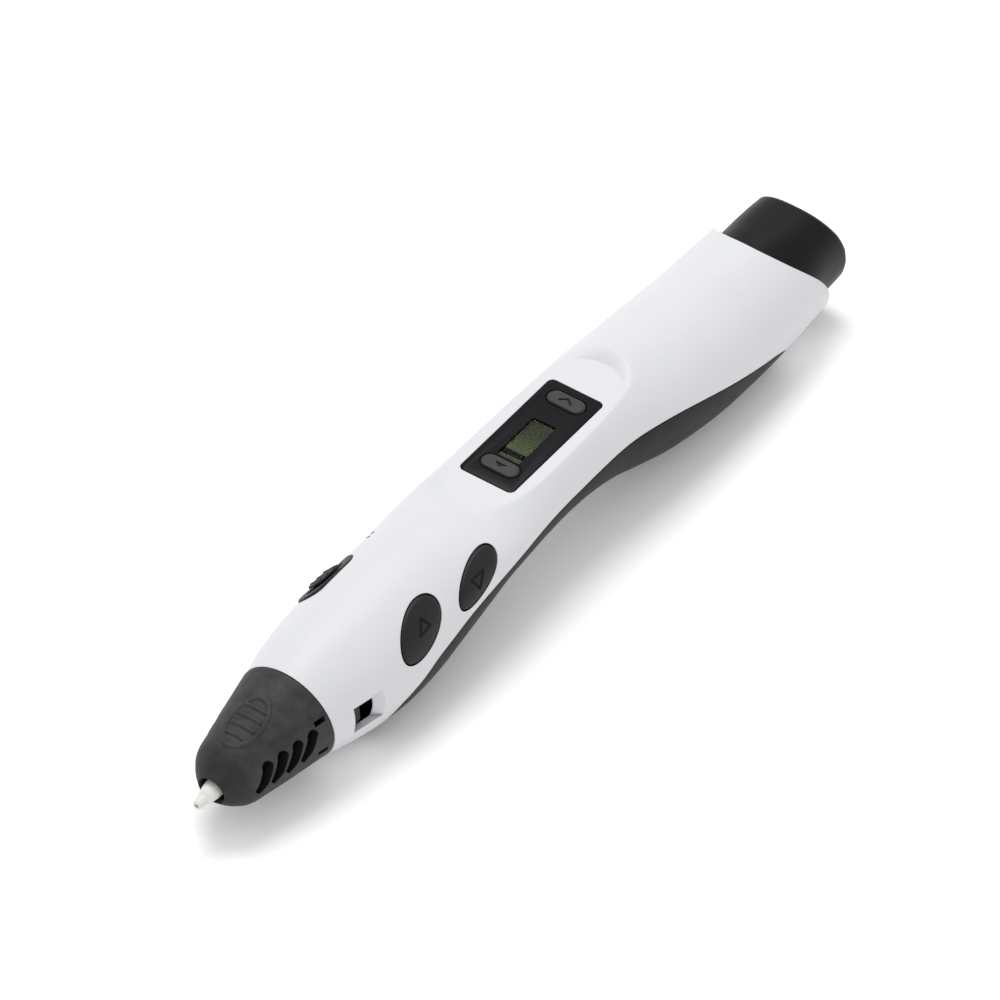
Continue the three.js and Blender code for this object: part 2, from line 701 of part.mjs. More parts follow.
const guidePath = [
  [34, 0, 13.75],
  [48, 0, 14.3],
  [66, 0.1, 14.6],
  [86, 0.4, 14.7],
  [102, 0.9, 15.7],
  [113.5, FILAMENT_Y, FILAMENT_Z],
];
const guideTube = tube(guidePath, 1.5, 1.0);
const entryPath = [
  [123, FILAMENT_Y, 16.55],
  [140, FILAMENT_Y, 17.3],
  [156, FILAMENT_Y, 18.4],
  [169.6, INLET.y, INLET.z],
];
const entryTube = tube(entryPath, 1.4, 1.0);

// ---------------------------------------------------------------- tail

const roundRing = (x, z, wide, under, inset) => ({
  x,
  z,
  wide: wide - inset,
  over: wide - inset,
  under: under - inset,
});
const tailBlank = (inset) =>
  loft([
    bodyRing(153.3, WALL + GAP + inset),
    bodyRing(157, WALL + GAP + inset),
    roundRing(161, 13.2, 10.3, 9.9, inset),
    roundRing(165, 13.6, 9.9, 9.7, inset),
    roundRing(169, 13.9, 9.5, 9.4, inset),
    roundRing(177, 14.1, 9.1, 9.1, inset),
  ]).subtract(behind(TAIL_EDGE, inset > 0 ? -TAIL_WALL : 0));
const tailOuter = tailBlank(0);
const tailInner = tailBlank(WALL).add(bodyBetween(150, 154, 2 * WALL + GAP));
const tailCap = tailOuter
  .subtract(tailInner)
  .add(ring(4.85, 5.9, 168.4, 174.5, tailFrame, 24).intersect(tailOuter))
  .subtract(rod(4.85, 160, 180, tailFrame, 24))
  .subtract(rod(2.45, 160, 180, inletFrame));
const jack = ring(2.9, 4.6, 157.5, 169, tailFrame, 24).add(rod(4.6, 157.5, 159, tailFrame, 24));
const jackPin = rod(1.0, 159.3, 167.8, tailFrame);
const bushProfile = [
  [1.1, 169.9],
  [2.15, 169.9],
  [2.15, 173.2],
  [1.9, 173.5],
  [1.5, 173.5],
  [1.1, 172.9],
  [1.1, 169.9],
];
const inletBush = turned(bushProfile, inletFrame);

const screwProfile = [
  [0, -4.0],
  [0.9, -3.6],
  [0.95, -0.4],
  [2.1, -0.4],
  [2.1, 0.5],
  [1.7, 0.9],
  [0, 0.9],
];
const screw = (spot) =>
  turned(screwProfile, screwFrame(spot))
    .subtract(box([-1.5, -0.25, 0.4], [1.5, 0.25, 2], screwFrame(spot)))
    .subtract(box([-0.25, -1.5, 0.4], [0.25, 1.5, 2], screwFrame(spot)));

// ---------------------------------------------------------------- the pen

const pen = new THREE.Group();
pen.position.set(-ORIGIN_X, 0, -REST_Z);

function add(name, body, makeMaterial) {
  const mesh = new THREE.Mesh(geometryOf(body), makeMaterial());
  mesh.name = name;
  pen.add(mesh);
}

add('upper_shell', upperShell, whiteShell);
add('lower_shell', lowerShell, blackShell);
add('nose_cap', noseCap, capPlastic);
add('tail_cap', tailCap, blackShell);
add('ceramic_nozzle', nozzle, ceramic);
add('melt_tube', meltTube, brass);
add('heater_sleeve', heaterSleeve, ivory);
add('thermistor_bead', thermistor, ivory);
add('hot_end_holder', holder, ivory);
add('display_bezel', bezel, gloss);
add('display_lens', lens, clear);
add('lcd_module', lcd, clear);
add('temp_up_button', panelButton(PANEL_BUTTON.up), rubbery);
add('temp_down_button', panelButton(PANEL_BUTTON.down), rubbery);
add('main_board', mainBoard, board);
add('switch_up', panelSwitch(PANEL_BUTTON.up), plastic);
add('switch_down', panelSwitch(PANEL_BUTTON.down), plastic);
add('plunger_up', panelPlunger(PANEL_BUTTON.up), plastic);
add('plunger_down', panelPlunger(PANEL_BUTTON.down), plastic);
add('feed_button', sideButton(SIDE_BUTTONS.feed), rubbery);
add('retract_button', sideButton(SIDE_BUTTONS.retract), rubbery);
add('side_board', sideBoard, board);
add('switch_feed', sideSwitch(SIDE_BUTTONS.feed), plastic);
add('switch_retract', sideSwitch(SIDE_BUTTONS.retract), plastic);
add('plunger_feed', sidePlunger(SIDE_BUTTONS.feed), plastic);
add('plunger_retract', sidePlunger(SIDE_BUTTONS.retract), plastic);
add('slider_track', track, rubbery);
add('speed_knob', knob, rubbery);
add('slide_pot', slidePot, steel);
add('slide_wiper', wiper, plastic);
add('feed_frame', feederFrame, ivory);
add('motor_gearbox', gearbox, brass);
add('motor_can', motorCan, steel);
add('motor_pinion', pinion, steel);
add('face_gear', faceGear, brass);
add('feed_shaft', feedShaft, steel);
add('feed_wheel', feedWheel, steel);
add('idler_arm', idlerArm, plastic);
add('idler_pivot', idlerPivot, steel);
add('idler_axle', idlerAxle, steel);
add('idler_roller', idlerRoller, steel);
add('idler_spring', spring, steel);
add('guide_tube', guideTube, tubing);
add('entry_tube', entryTube, tubing);
add('power_jack', jack, plastic);
add('jack_pin', jackPin, steel);
add('inlet_bush', inletBush, brass);
for (const spot of screwSpots) {
  add(spot.name, screw(spot), steel);
}

export default pen;
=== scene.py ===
"""Looks of the three d pen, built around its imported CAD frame.

Lengths are in millimetres and points in pen coordinates until a mesh is made.
"""

import json
import math

import bmesh
import bpy
import numpy as np
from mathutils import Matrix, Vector


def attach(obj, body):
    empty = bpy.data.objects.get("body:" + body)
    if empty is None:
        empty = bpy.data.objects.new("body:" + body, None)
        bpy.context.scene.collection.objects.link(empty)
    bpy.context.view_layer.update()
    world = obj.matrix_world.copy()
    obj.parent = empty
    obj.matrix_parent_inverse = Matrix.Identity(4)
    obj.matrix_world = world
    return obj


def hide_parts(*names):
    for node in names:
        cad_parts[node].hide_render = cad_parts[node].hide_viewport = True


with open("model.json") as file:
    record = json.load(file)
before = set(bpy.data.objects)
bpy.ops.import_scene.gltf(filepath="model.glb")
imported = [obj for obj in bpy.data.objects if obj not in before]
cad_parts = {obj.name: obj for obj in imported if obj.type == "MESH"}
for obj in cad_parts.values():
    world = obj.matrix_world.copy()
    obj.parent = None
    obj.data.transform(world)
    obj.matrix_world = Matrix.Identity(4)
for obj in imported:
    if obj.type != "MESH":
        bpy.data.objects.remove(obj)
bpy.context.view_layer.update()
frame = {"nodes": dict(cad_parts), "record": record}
NODES = frame["nodes"]

MM = 0.001
TURN = 2 * math.pi

# Pen coordinates: x runs back from the front of the grip. The shared frame is shifted by this much.
REST_Z = 0.35
ORIGIN = np.array([86.7, 0.0, REST_Z])
WALL = 1.4

# x, height of the widest line, half width, height above it, depth below it
BODY = np.array([
    [18, 12.3, 8.4, 8.4, 8.4],
    [24.1, 12.78, 9.82, 9.82, 9.82],
    [30, 12.89, 11.15, 11.15, 11.15],
    [37, 12.75, 12.2, 12.2, 12.2],
    [45, 12.73, 12.7, 12.7, 12.68],
    [53, 13.6, 12.55, 12.0, 12.9],
    [60, 15.1, 12.2, 10.3, 12.8],
    [67, 17.0, 12.05, 8.1, 12.6],
    [73, 18.2, 11.95, 6.15, 11.3],
    [76.5, 18.3, 11.75, 6.9, 10.7],
    [80, 18.2, 11.4, 8.2, 10.3],
    [86, 18.35, 10.85, 9.6, 10.35],
    [93, 18.45, 10.5, 10.4, 10.4],
    [100, 18.35, 10.6, 10.6, 10.6],
    [107, 17.6, 11.0, 11.0, 11.0],
    [114, 16.2, 11.75, 11.75, 11.75],
    [121, 14.75, 12.3, 12.3, 12.3],
    [128, 13.7, 12.55, 12.55, 12.55],
    [136, 12.9, 12.68, 12.68, 12.65],
    [145, 12.5, 12.5, 12.5, 12.4],
    [152, 12.6, 12.35, 12.35, 12.25],
    [159, 12.95, 12.1, 12.1, 12.0],
    [166, 13.3, 11.65, 11.65, 11.5],
    [173, 13.6, 10.8, 10.8, 10.8],
])

NOSE_Z = 10.46
NOSE_TILT = math.radians(5.46)
NOSE_REAR = 24.0

FACET_X = 93.8
FACET_Z = 25.07
FACET_TILT = math.radians(2.25)
FACET_HALF = 7.4
FACET_REAR = 14.2
FACET_FRONT = -20.6
FACET_TAPER = 0.27
FACET_BOW = 22.0
FACET_BLEND = 2.4

# Display panel: length and width; its window: from, to, half width; its buttons: length, width, places
PANEL = (26.9, 11.3)
WINDOW = (-6.9, 3.9, 2.45)
PANEL_BUTTON = (3.2, 7.6)
UP_AT = 10.1
DOWN_AT = -9.1

# Edge of the black shell in the side view; both ends run out below the pen.
BELOW = -2
PARTING = [
    (35.6, -2), (37.4, 4.5), (39.75, 8.1), (42.8, 9.65), (46.1, 11.0), (49.4, 12.5), (53.1, 13.5),
    (60.8, 15.1), (68.7, 16.4), (76.7, 17.5), (85.3, 17.9), (93.9, 18.0), (101.9, 18.7), (106, 18.95),
    (110.2, 18.9), (114.6, 18.4), (119.3, 17.55), (124.3, 16.4), (134.5, 13.7), (145.2, 10.8),
    (150.6, 9.3), (154.6, 6.5), (157.4, -2),
]
REAR_EDGE = [
    (156.3, 24.7), (159.7, 21), (163.4, 17), (165.6, 13.5), (166.6, 10), (166.7, 7), (166.3, 3), (165.5, -10),
]

# Side buttons: x, height, half length, half width, turn in degrees
SIDE_ANGLE = math.radians(28.2)
SIDE_Z = 13.9
FEED_KEY = (47.74, 0.24, 6.56, 3.74, 28.0)
RETRACT_KEY = (63.73, 0.47, 6.5, 2.8, 23.6)

SLIDER_AT = (47.0, 12.85)
SLIDER_ANGLE = math.radians(42)

# Curved end face of the tail cap: x, height
TAIL_EDGE = np.array([
    (173.0, -10), (174.4, 4), (175.0, 8), (175.2, 12), (174.8, 15), (173.6, 18.5), (171.4, 23.3),
])
TAIL_END = 175.2
TAIL_ROUND = 0.9
TAIL_SLIM = 0.9995  # keeps the cap a hair inside its CAD outline
JACK_Z = 12.2
JACK_HOLE = 4.85
INLET = (1.0, 19.3)


# ------------------------------------------------------------------ frames and meshes

def frame_at(origin, normal):
    """Frame whose z is the normal and whose x is as near +X as it can be; columns are x, y, z."""
    z = np.array(normal, float)
    z /= np.linalg.norm(z)
    y = np.cross(z, [1.0, 0, 0])
    if np.linalg.norm(y) < 1e-6:
        y = np.array([0.0, 1, 0])
    y /= np.linalg.norm(y)
    return np.array(origin, float), np.stack([np.cross(y, z), y, z], axis=1)


def out_of(place, points):
    """Points of a frame in pen coordinates."""
    origin, axes = place
    return np.asarray(points, float) @ axes.T + origin


PEN = (np.zeros(3), np.eye(3))
NOSE = frame_at([0, 0, NOSE_Z], [math.cos(NOSE_TILT), 0, math.sin(NOSE_TILT)])
FACET = frame_at([FACET_X, 0, FACET_Z], [-math.sin(FACET_TILT), 0, math.cos(FACET_TILT)])
SIDE = frame_at([0, 0, SIDE_Z], [0, -math.cos(SIDE_ANGLE), math.sin(SIDE_ANGLE)])
SLIDER = frame_at([SLIDER_AT[0], 0, SLIDER_AT[1]], [0, math.cos(SLIDER_ANGLE), math.sin(SLIDER_ANGLE)])
TAIL = frame_at([0, 0, JACK_Z], [1, 0, 0])
BUSH = frame_at([0, INLET[0], INLET[1]], [1, 0, 0])
SIDEWAYS = (np.zeros(3), np.array([[1, 0, 0], [0, 0, -1], [0, 1, 0]], float))


def make(name, points, faces, smooth_angle=32):
    """An object from points in pen coordinates and a list of faces."""
    mesh = bpy.data.meshes.new(name)
    mesh.from_pydata(((np.asarray(points) - ORIGIN) * MM).tolist(), [], faces)
    bm = bmesh.new()
    bm.from_mesh(mesh)
    bmesh.ops.recalc_face_normals(bm, faces=bm.faces)
    bm.to_mesh(mesh)
    bm.free()
    thing = bpy.data.objects.new(name, mesh)
    bpy.context.scene.collection.objects.link(thing)
    soften(thing, smooth_angle)
    return thing


def soften(thing, angle=32):
    """Smooth shading with sharp edges where faces meet at more than an angle."""
    thing.data.shade_smooth()
    thing.data.set_sharp_from_angle(angle=math.radians(angle))


def rings_mesh(rings, first="cap", last="cap"):
    """Points and faces of a stack of closed rings, each an array of the same number of points."""
    rings = np.asarray(rings, float)
    count, around = rings.shape[:2]
    points = rings.reshape(-1, 3)
    i = np.arange(count - 1)[:, None] * around
    j = np.arange(around)[None, :]
    k = (j + 1) % around
    quads = np.stack([i + j, i + k, i + around + k, i + around + j], axis=-1).reshape(-1, 4)
    faces = quads.tolist()
    if first == "cap":
        faces.append(list(range(around))[::-1])
    if last == "cap":
        faces.append(list(range((count - 1) * around, count * around)))
    if first == "join":
        last_row = (count - 1) * around
        for a in range(around):
            b = (a + 1) % around
            faces.append([last_row + a, last_row + b, b, a])
    return points, faces


def turned(name, profile, place=PEN, around=96, closed=False, smooth_angle=32):
    """A piece turned about a frame's z from (radius, height) points; a closed profile makes a ring."""
    angles = np.linspace(0, TURN, around, endpoint=False)
    rings = [
        np.stack([r * np.cos(angles), r * np.sin(angles), np.full(around, h)], axis=1)
        for r, h in profile
    ]
    points, faces = rings_mesh(rings, "join" if closed else "cap", "none" if closed else "cap")
    return make(name, out_of(place, points), faces, smooth_angle)


def rounded(profile, radius=0.3, steps=4):
    """The same open or closed profile with its corners rounded."""
    pts = [np.array(p, float) for p in profile]
    out = [pts[0]]
    for a, b, c in zip(pts, pts[1:], pts[2:]):
        u = (a - b) / max(np.linalg.norm(a - b), 1e-9)
        v = (c - b) / max(np.linalg.norm(c - b), 1e-9)
        cut = min(radius, 0.45 * np.linalg.norm(a - b), 0.45 * np.linalg.norm(c - b))
        p, q = b + u * cut, b + v * cut
        for t in np.linspace(0, 1, steps + 1):
            out.append((1 - t) ** 2 * p + 2 * t * (1 - t) * b + t * t * q)
    out.append(pts[-1])
    return [tuple(p) for p in out]


def ellipse(cx, cy, a, b, turn, around=128):
    t = np.linspace(0, TURN, around, endpoint=False)
    x, y = a * np.cos(t), b * np.sin(t)
    ct, st = math.cos(turn), math.sin(turn)
    return np.stack([cx + x * ct - y * st, cy + x * st + y * ct], axis=1)


def box_outline(cx, cy, length, width, corner, steps=8):
    """Rounded rectangle, the same number of points whatever its size."""
    corner = min(corner, length / 2 - 1e-3, width / 2 - 1e-3)
    out = []
    for k, (sx, sy) in enumerate([(1, 1), (-1, 1), (-1, -1), (1, -1)]):
        for t in np.linspace(k * math.pi / 2, (k + 1) * math.pi / 2, steps + 1):
            out.append((
                cx + sx * (length / 2 - corner) + corner * math.cos(t),
                cy + sy * (width / 2 - corner) + corner * math.sin(t),
            ))
    return np.array(out)


def plate(cx, length, width, corner, steps=8, follow=0.0):
    """Rounded rectangle as a function of how far it is pulled in; follow=1 keeps its corners concentric."""
    return lambda d: box_outline(cx, 0, length - 2 * d, width - 2 * d, corner - follow * d, steps)


def slab(name, outline, low, high, place=PEN, edge=0.0, under=0.0):
    """A plate with rounded rims. outline(d) gives the outline pulled in by d."""
    rings = []
    quarter = np.linspace(0, math.pi / 2, 5)
    for t in quarter if under else [math.pi / 2]:
        pull = under * (1 - math.sin(t))
        rings.append((outline(pull), low + under * (1 - math.cos(t))))
    for t in quarter if edge else [0.0]:
        rings.append((outline(edge * (1 - math.cos(t))), high - edge + edge * math.sin(t)))
    stack = [np.column_stack([flat, np.full(len(flat), h)]) for flat, h in rings]
    points, faces = rings_mesh(stack)
    return make(name, out_of(place, points), faces)


def prism(name, outline, low, high, place=PEN):
    """A straight-sided piece between two heights of a frame."""
    outline = np.asarray(outline, float)
    stack = [np.column_stack([outline, np.full(len(outline), h)]) for h in (low, high)]
    points, faces = rings_mesh(stack)
    return make(name, out_of(place, points), faces)


def boxed(name, low, high, place=PEN):
    outline = [(low[0], low[1]), (high[0], low[1]), (high[0], high[1]), (low[0], high[1])]
    return prism(name, outline, low[2], high[2], place)


def shape_by(thing, tool, how="DIFFERENCE"):
    """Cuts or joins with a second object, which is used up."""
    modifier = thing.modifiers.new("shape", "BOOLEAN")
    modifier.operation = how
    modifier.solver = "MANIFOLD"
    modifier.object = tool
    bpy.context.view_layer.update()
    shaped = thing.evaluated_get(bpy.context.evaluated_depsgraph_get())
    made = bpy.data.meshes.new_from_object(shaped)
    if not len(made.polygons):
        raise RuntimeError(f"{thing.name} was lost when shaped by {tool.name}")
    thing.modifiers.clear()
    old = thing.data
    if not len(made.materials):
        for material in old.materials:
            made.materials.append(material)
    thing.data = made
    bpy.data.meshes.remove(old)
    bpy.data.objects.remove(tool)
    soften(thing)


# ------------------------------------------------------------------ body surface

def station(x, column):
    """Smooth value of one station column."""
    xs, ys = BODY[:, 0], BODY[:, column]
    slopes = np.empty(len(xs))
    slopes[1:-1] = (ys[2:] - ys[:-2]) / (xs[2:] - xs[:-2])
    slopes[0] = (ys[1] - ys[0]) / (xs[1] - xs[0])
    slopes[-1] = (ys[-1] - ys[-2]) / (xs[-1] - xs[-2])
    k = np.clip(np.searchsorted(xs, x, side="right") - 1, 0, len(xs) - 2)
    span = xs[k + 1] - xs[k]
    t = (x - xs[k]) / span
    return (
        (2 * t**3 - 3 * t**2 + 1) * ys[k]
        + (t**3 - 2 * t**2 + t) * span * slopes[k]
        + (3 * t**2 - 2 * t**3) * ys[k + 1]
        + (t**3 - t**2) * span * slopes[k + 1]
    )


def smooth_step(t):
    t = np.clip(t, 0, 1)
    return t * t * (3 - 2 * t)


def smooth_min(a, b, k):
    h = np.clip(0.5 + 0.5 * (b - a) / k, 0, 1)
    return b * (1 - h) + a * h - k * h * (1 - h)


def facet_distance(x, y):
    """How far a point is outside the outline of the display facet; negative inside."""
    u = (x - FACET_X) / math.cos(FACET_TILT)
    rear = np.hypot(np.maximum(u - FACET_REAR, 0), y) - FACET_HALF
    side = np.abs(y) - FACET_HALF - np.maximum(FACET_REAR - u, 0) * FACET_TAPER
    front = FACET_FRONT + y * y / FACET_BOW - u
    return np.maximum(np.where(u > FACET_REAR, rear, side), front)


def press_facet(points, drop=0.0):
    """Presses the display facet into a body surface."""
    x, y, z = points[..., 0], points[..., 1], points[..., 2]
    plane = FACET_Z + (x - FACET_X) * math.tan(FACET_TILT) - drop
    share = np.clip(1 - facet_distance(x, y) / FACET_BLEND, 0, 1)
    pressed = smooth_min(z, plane, 0.16)
    out = points.copy()
    out[..., 2] = np.where(z > station(x, 1), z + share * (pressed - z), z)
    return out


def body_surface(x, angle, inset=0.0):
    """Points of the pen's surface; angle 0 is +Y and a quarter turn is up."""
    x, angle = np.broadcast_arrays(np.asarray(x, float), np.asarray(angle, float))
    c, s = np.cos(angle), np.sin(angle)
    wide = station(x, 2) - inset
    tall = np.where(s > 0, station(x, 3), station(x, 4)) - inset
    points = np.stack([x, wide * c, station(x, 1) + tall * s], axis=-1)
    return press_facet(points, inset)


def body_tube(name, x_outer, angles, x_inner, angles_inner, inset):
    """A closed shell between the body surface and an inset copy of it."""
    outer = body_surface(x_outer[:, None], angles[None, :])
    inner = body_surface(x_inner[:, None], angles_inner[None, :], inset)
    a, fa = rings_mesh(outer)
    b, fb = rings_mesh(inner)
    shell = make(name, a, fa)
    shape_by(shell, make(name + "_core", b, fb))
    return shell


def along(*stretches):
    """Numbers along several stretches, each (from, to, step)."""
    parts = [np.arange(a, b - step * 0.5, step) for a, b, step in stretches]
    return np.concatenate(parts + [[stretches[-1][1]]])


def surface_height(place, a, b):
    """Height over a frame's plane at which its normal meets the body surface."""
    low = np.full(np.shape(a), 5.0)
    high = np.full(np.shape(a), 20.0)
    for _ in range(40):
        mid = (low + high) / 2
        p = out_of(place, np.stack([a, b, mid], axis=-1))
        wide = station(p[..., 0], 2)
        up = p[..., 2] - station(p[..., 0], 1)
        tall = np.where(up > 0, station(p[..., 0], 3), station(p[..., 0], 4))
        inside = (p[..., 1] / wide) ** 2 + (up / tall) ** 2 < 1
        low = np.where(inside, mid, low)
        high = np.where(inside, high, mid)
    return (low + high) / 2


# ------------------------------------------------------------------ materials

def tree(name):
    material = bpy.data.materials.new(name)
    material.use_nodes = True
    nodes = material.node_tree.nodes
    return material, nodes, material.node_tree.links, nodes["Principled BSDF"]


def noise(nodes, links, coords, scale, detail=4.0, rough=0.55):
    n = nodes.new("ShaderNodeTexNoise")
    n.inputs["Scale"].default_value = scale
    n.inputs["Detail"].default_value = detail
    n.inputs["Roughness"].default_value = rough
    links.new(coords.outputs["Object"], n.inputs["Vector"])
    return n


def ramp(nodes, links, source, stops):
    r = nodes.new("ShaderNodeValToRGB")
    links.new(source, r.inputs["Fac"])
    elements = r.color_ramp.elements
    while len(elements) < len(stops):
        elements.new(0.5)
    for element, (at, color) in zip(elements, stops):
        element.position = at
        element.color = (*color, 1) if len(color) == 3 else color
    return r


def mapped(nodes, links, source, to_min, to_max=1.0, from_min=0.0, from_max=1.0):
    """Output that maps one range of a value to another."""
    node = nodes.new("ShaderNodeMapRange")
    node.inputs["From Min"].default_value = from_min
    node.inputs["From Max"].default_value = from_max
    node.inputs["To Min"].default_value = to_min
    node.inputs["To Max"].default_value = to_max
    links.new(source, node.inputs["Value"])
    return node.outputs["Result"]


def x_of(nodes, links, coords):
    split = nodes.new("ShaderNodeSeparateXYZ")
    links.new(coords.outputs["Object"], split.inputs["Vector"])
    return split.outputs["X"]


def shared_x(x):
    """Pen coordinate x in metres of the shared frame."""
    return (x - ORIGIN[0]) * MM


def dim(nodes, links, color, share, shader):
    """Multiplies a colour by a share on its way to the shader."""
    scale = nodes.new("ShaderNodeVectorMath")
    scale.operation = "SCALE"
    links.new(color, scale.inputs[0])
    links.new(share, scale.inputs["Scale"])
    links.new(scale.outputs["Vector"], shader.inputs["Base Color"])


def paint_front_shade(nodes, links, coords, color, shader, start, stop, factor):
    """Painted shade: multiplies the colour by a factor in front of pen coordinate `start`, fading out by
    `stop`.
    """
    x = x_of(nodes, links, coords)
    share = mapped(nodes, links, x, factor, from_min=shared_x(start), from_max=shared_x(stop))
    dim(nodes, links, color, share, shader)


def paint_hollow_shade(nodes, links, color, shader, reach):
    """Paints shade into narrow recesses, where light hardly gets in."""
    closed = nodes.new("ShaderNodeAmbientOcclusion")
    closed.samples = 6
    closed.inputs["Distance"].default_value = reach
    share = mapped(nodes, links, closed.outputs["AO"], 0.12, from_min=0.25, from_max=0.8)
    dim(nodes, links, color, share, shader)


GRAIN_DEPTH = 0.00006


def surface(
    name,
    color,
    roughness,
    grain=2200.0,
    bump=0.06,
    spread=0.05,
    rough_spread=0.08,
    metallic=0.0,
    blotch=90.0,
    edge=0.0,
    specular=0.5,
    front_shade=None,
    hollow_shade=0.0,
):
    """Moulded or machined surface: blotches of tone, fine grain, uneven gloss and rubbed patches, with
    optional painted shade in recesses and over the front end.
    """
    material, nodes, links, shader = tree(name)
    coords = nodes.new("ShaderNodeTexCoord")
    broad = noise(nodes, links, coords, blotch, 5.0, 0.6)
    fine = noise(nodes, links, coords, grain, 3.0, 0.6)
    rubbed = noise(nodes, links, coords, blotch * 3.1, 6.0, 0.7)
    base = np.array(color, float)
    tones = ramp(nodes, links, broad.outputs["Fac"], [
        (0.3, tuple(np.clip(base * (1 - spread), 0, 1))),
        (0.7, tuple(np.clip(base * (1 + spread), 0, 1))),
    ])
    wear = ramp(nodes, links, rubbed.outputs["Fac"], [(0.66, (0, 0, 0)), (0.86, (1, 1, 1))])
    mix = nodes.new("ShaderNodeMix")
    mix.data_type = "RGBA"
    mix.inputs["B"].default_value = (*np.clip(base * 1.12 + 0.008, 0, 1), 1)
    links.new(tones.outputs["Color"], mix.inputs["A"])
    strength = nodes.new("ShaderNodeMath")
    strength.operation = "MULTIPLY"
    strength.inputs[1].default_value = 0.35
    links.new(wear.outputs["Color"], strength.inputs[0])
    links.new(strength.outputs[0], mix.inputs["Factor"])
    links.new(mix.outputs["Result"], shader.inputs["Base Color"])
    # Painted shade in narrow recesses.
    if hollow_shade:
        paint_hollow_shade(nodes, links, mix.outputs["Result"], shader, hollow_shade)
    # Painted shade over the front end.
    if front_shade:
        paint_front_shade(nodes, links, coords, mix.outputs["Result"], shader, *front_shade)
    smoothest, roughest = max(roughness - rough_spread, 0.02), min(roughness + rough_spread, 1.0)
    gloss = mapped(nodes, links, rubbed.outputs["Fac"], smoothest, roughest)
    links.new(gloss, shader.inputs["Roughness"])
    relief = nodes.new("ShaderNodeBump")
    relief.inputs["Strength"].default_value = bump
    relief.inputs["Distance"].default_value = GRAIN_DEPTH
    links.new(fine.outputs["Fac"], relief.inputs["Height"])
    if edge:
        rim = nodes.new("ShaderNodeBevel")
        rim.samples = 4
        rim.inputs["Radius"].default_value = edge
        links.new(rim.outputs["Normal"], relief.inputs["Normal"])
    links.new(relief.outputs["Normal"], shader.inputs["Normal"])
    shader.inputs["Metallic"].default_value = metallic
    shader.inputs["Specular IOR Level"].default_value = specular
    return material


# The white shell gets painted shade in its recesses.
WHITE = surface(
    "white_shell", (0.6, 0.604, 0.624), 0.46, bump=0.05, spread=0.012,
    edge=0.00022, specular=0.35, hollow_shade=0.0022)
BLACK = surface(
    "black_shell", (0.009, 0.0088, 0.0085), 0.45, bump=0.12, spread=0.15, edge=0.0002, specular=0.14)
# The nose cap gets painted shade over its front dome.
NOSE_GREY = surface(
    "cap_plastic", (0.026, 0.026, 0.027), 0.6, grain=1500, bump=0.35, spread=0.4, blotch=420,
    edge=0.00015, specular=0.3, front_shade=(5.2, 7.0, 0.62))
CAP_BLACK = surface(
    "tail_black", (0.004, 0.004, 0.0046), 0.42, bump=0.1, spread=0.18, edge=0.0002, specular=0.15)
RUBBER = surface(
    "rubbery_black", (0.0062, 0.0062, 0.0064), 0.52, grain=1800, bump=0.15, spread=0.2, specular=0.3)
GLOSS = surface(
    "gloss_black", (0.0035, 0.0035, 0.0045), 0.24, grain=500, bump=0.01, spread=0.2,
    rough_spread=0.05, specular=0.11)
KEY_GREY = surface("button_grey", (0.026, 0.026, 0.028), 0.5, bump=0.12, spread=0.15, specular=0.3)
# Painted shade for the grooves of the button signs.
SHADOW = surface("engraved_sign_shade", (0.0045, 0.0045, 0.0045), 0.6, bump=0.1, spread=0.3, specular=0.2)
CERAMIC = surface("ceramic", (0.66, 0.65, 0.62), 0.55, grain=3000, bump=0.15, spread=0.05, blotch=400)
STEEL = surface("steel", (0.56, 0.56, 0.58), 0.28, grain=1600, bump=0.08, metallic=1.0)
BRASS = surface("brass", (0.66, 0.47, 0.22), 0.3, grain=1600, bump=0.08, metallic=1.0)
BOARD = surface("circuit_board", (0.02, 0.12, 0.05), 0.45, bump=0.15, spread=0.15)
INNER = surface("inner_plastic", (0.006, 0.006, 0.007), 0.6, bump=0.12, spread=0.15, specular=0.15)
IVORY = surface("ivory_plastic", (0.55, 0.50, 0.40), 0.5, bump=0.12, spread=0.1)
HOT = surface("heat_sleeve", (0.03, 0.026, 0.022), 0.6, bump=0.3, spread=0.25, blotch=500, specular=0.15)
TUBING = surface("tubing", (0.70, 0.70, 0.66), 0.35, bump=0.05)


def lens_material():
    """Clear window whose polish varies a little."""
    material, nodes, links, shader = tree("lens")
    coords = nodes.new("ShaderNodeTexCoord")
    haze = noise(nodes, links, coords, 700, 4.0)
    links.new(mapped(nodes, links, haze.outputs["Fac"], 0.0, 0.015), shader.inputs["Roughness"])
    shader.inputs["Base Color"].default_value = (0.9, 0.92, 0.9, 1)
    shader.inputs["Transmission Weight"].default_value = 1.0
    shader.inputs["IOR"].default_value = 1.06
    return material


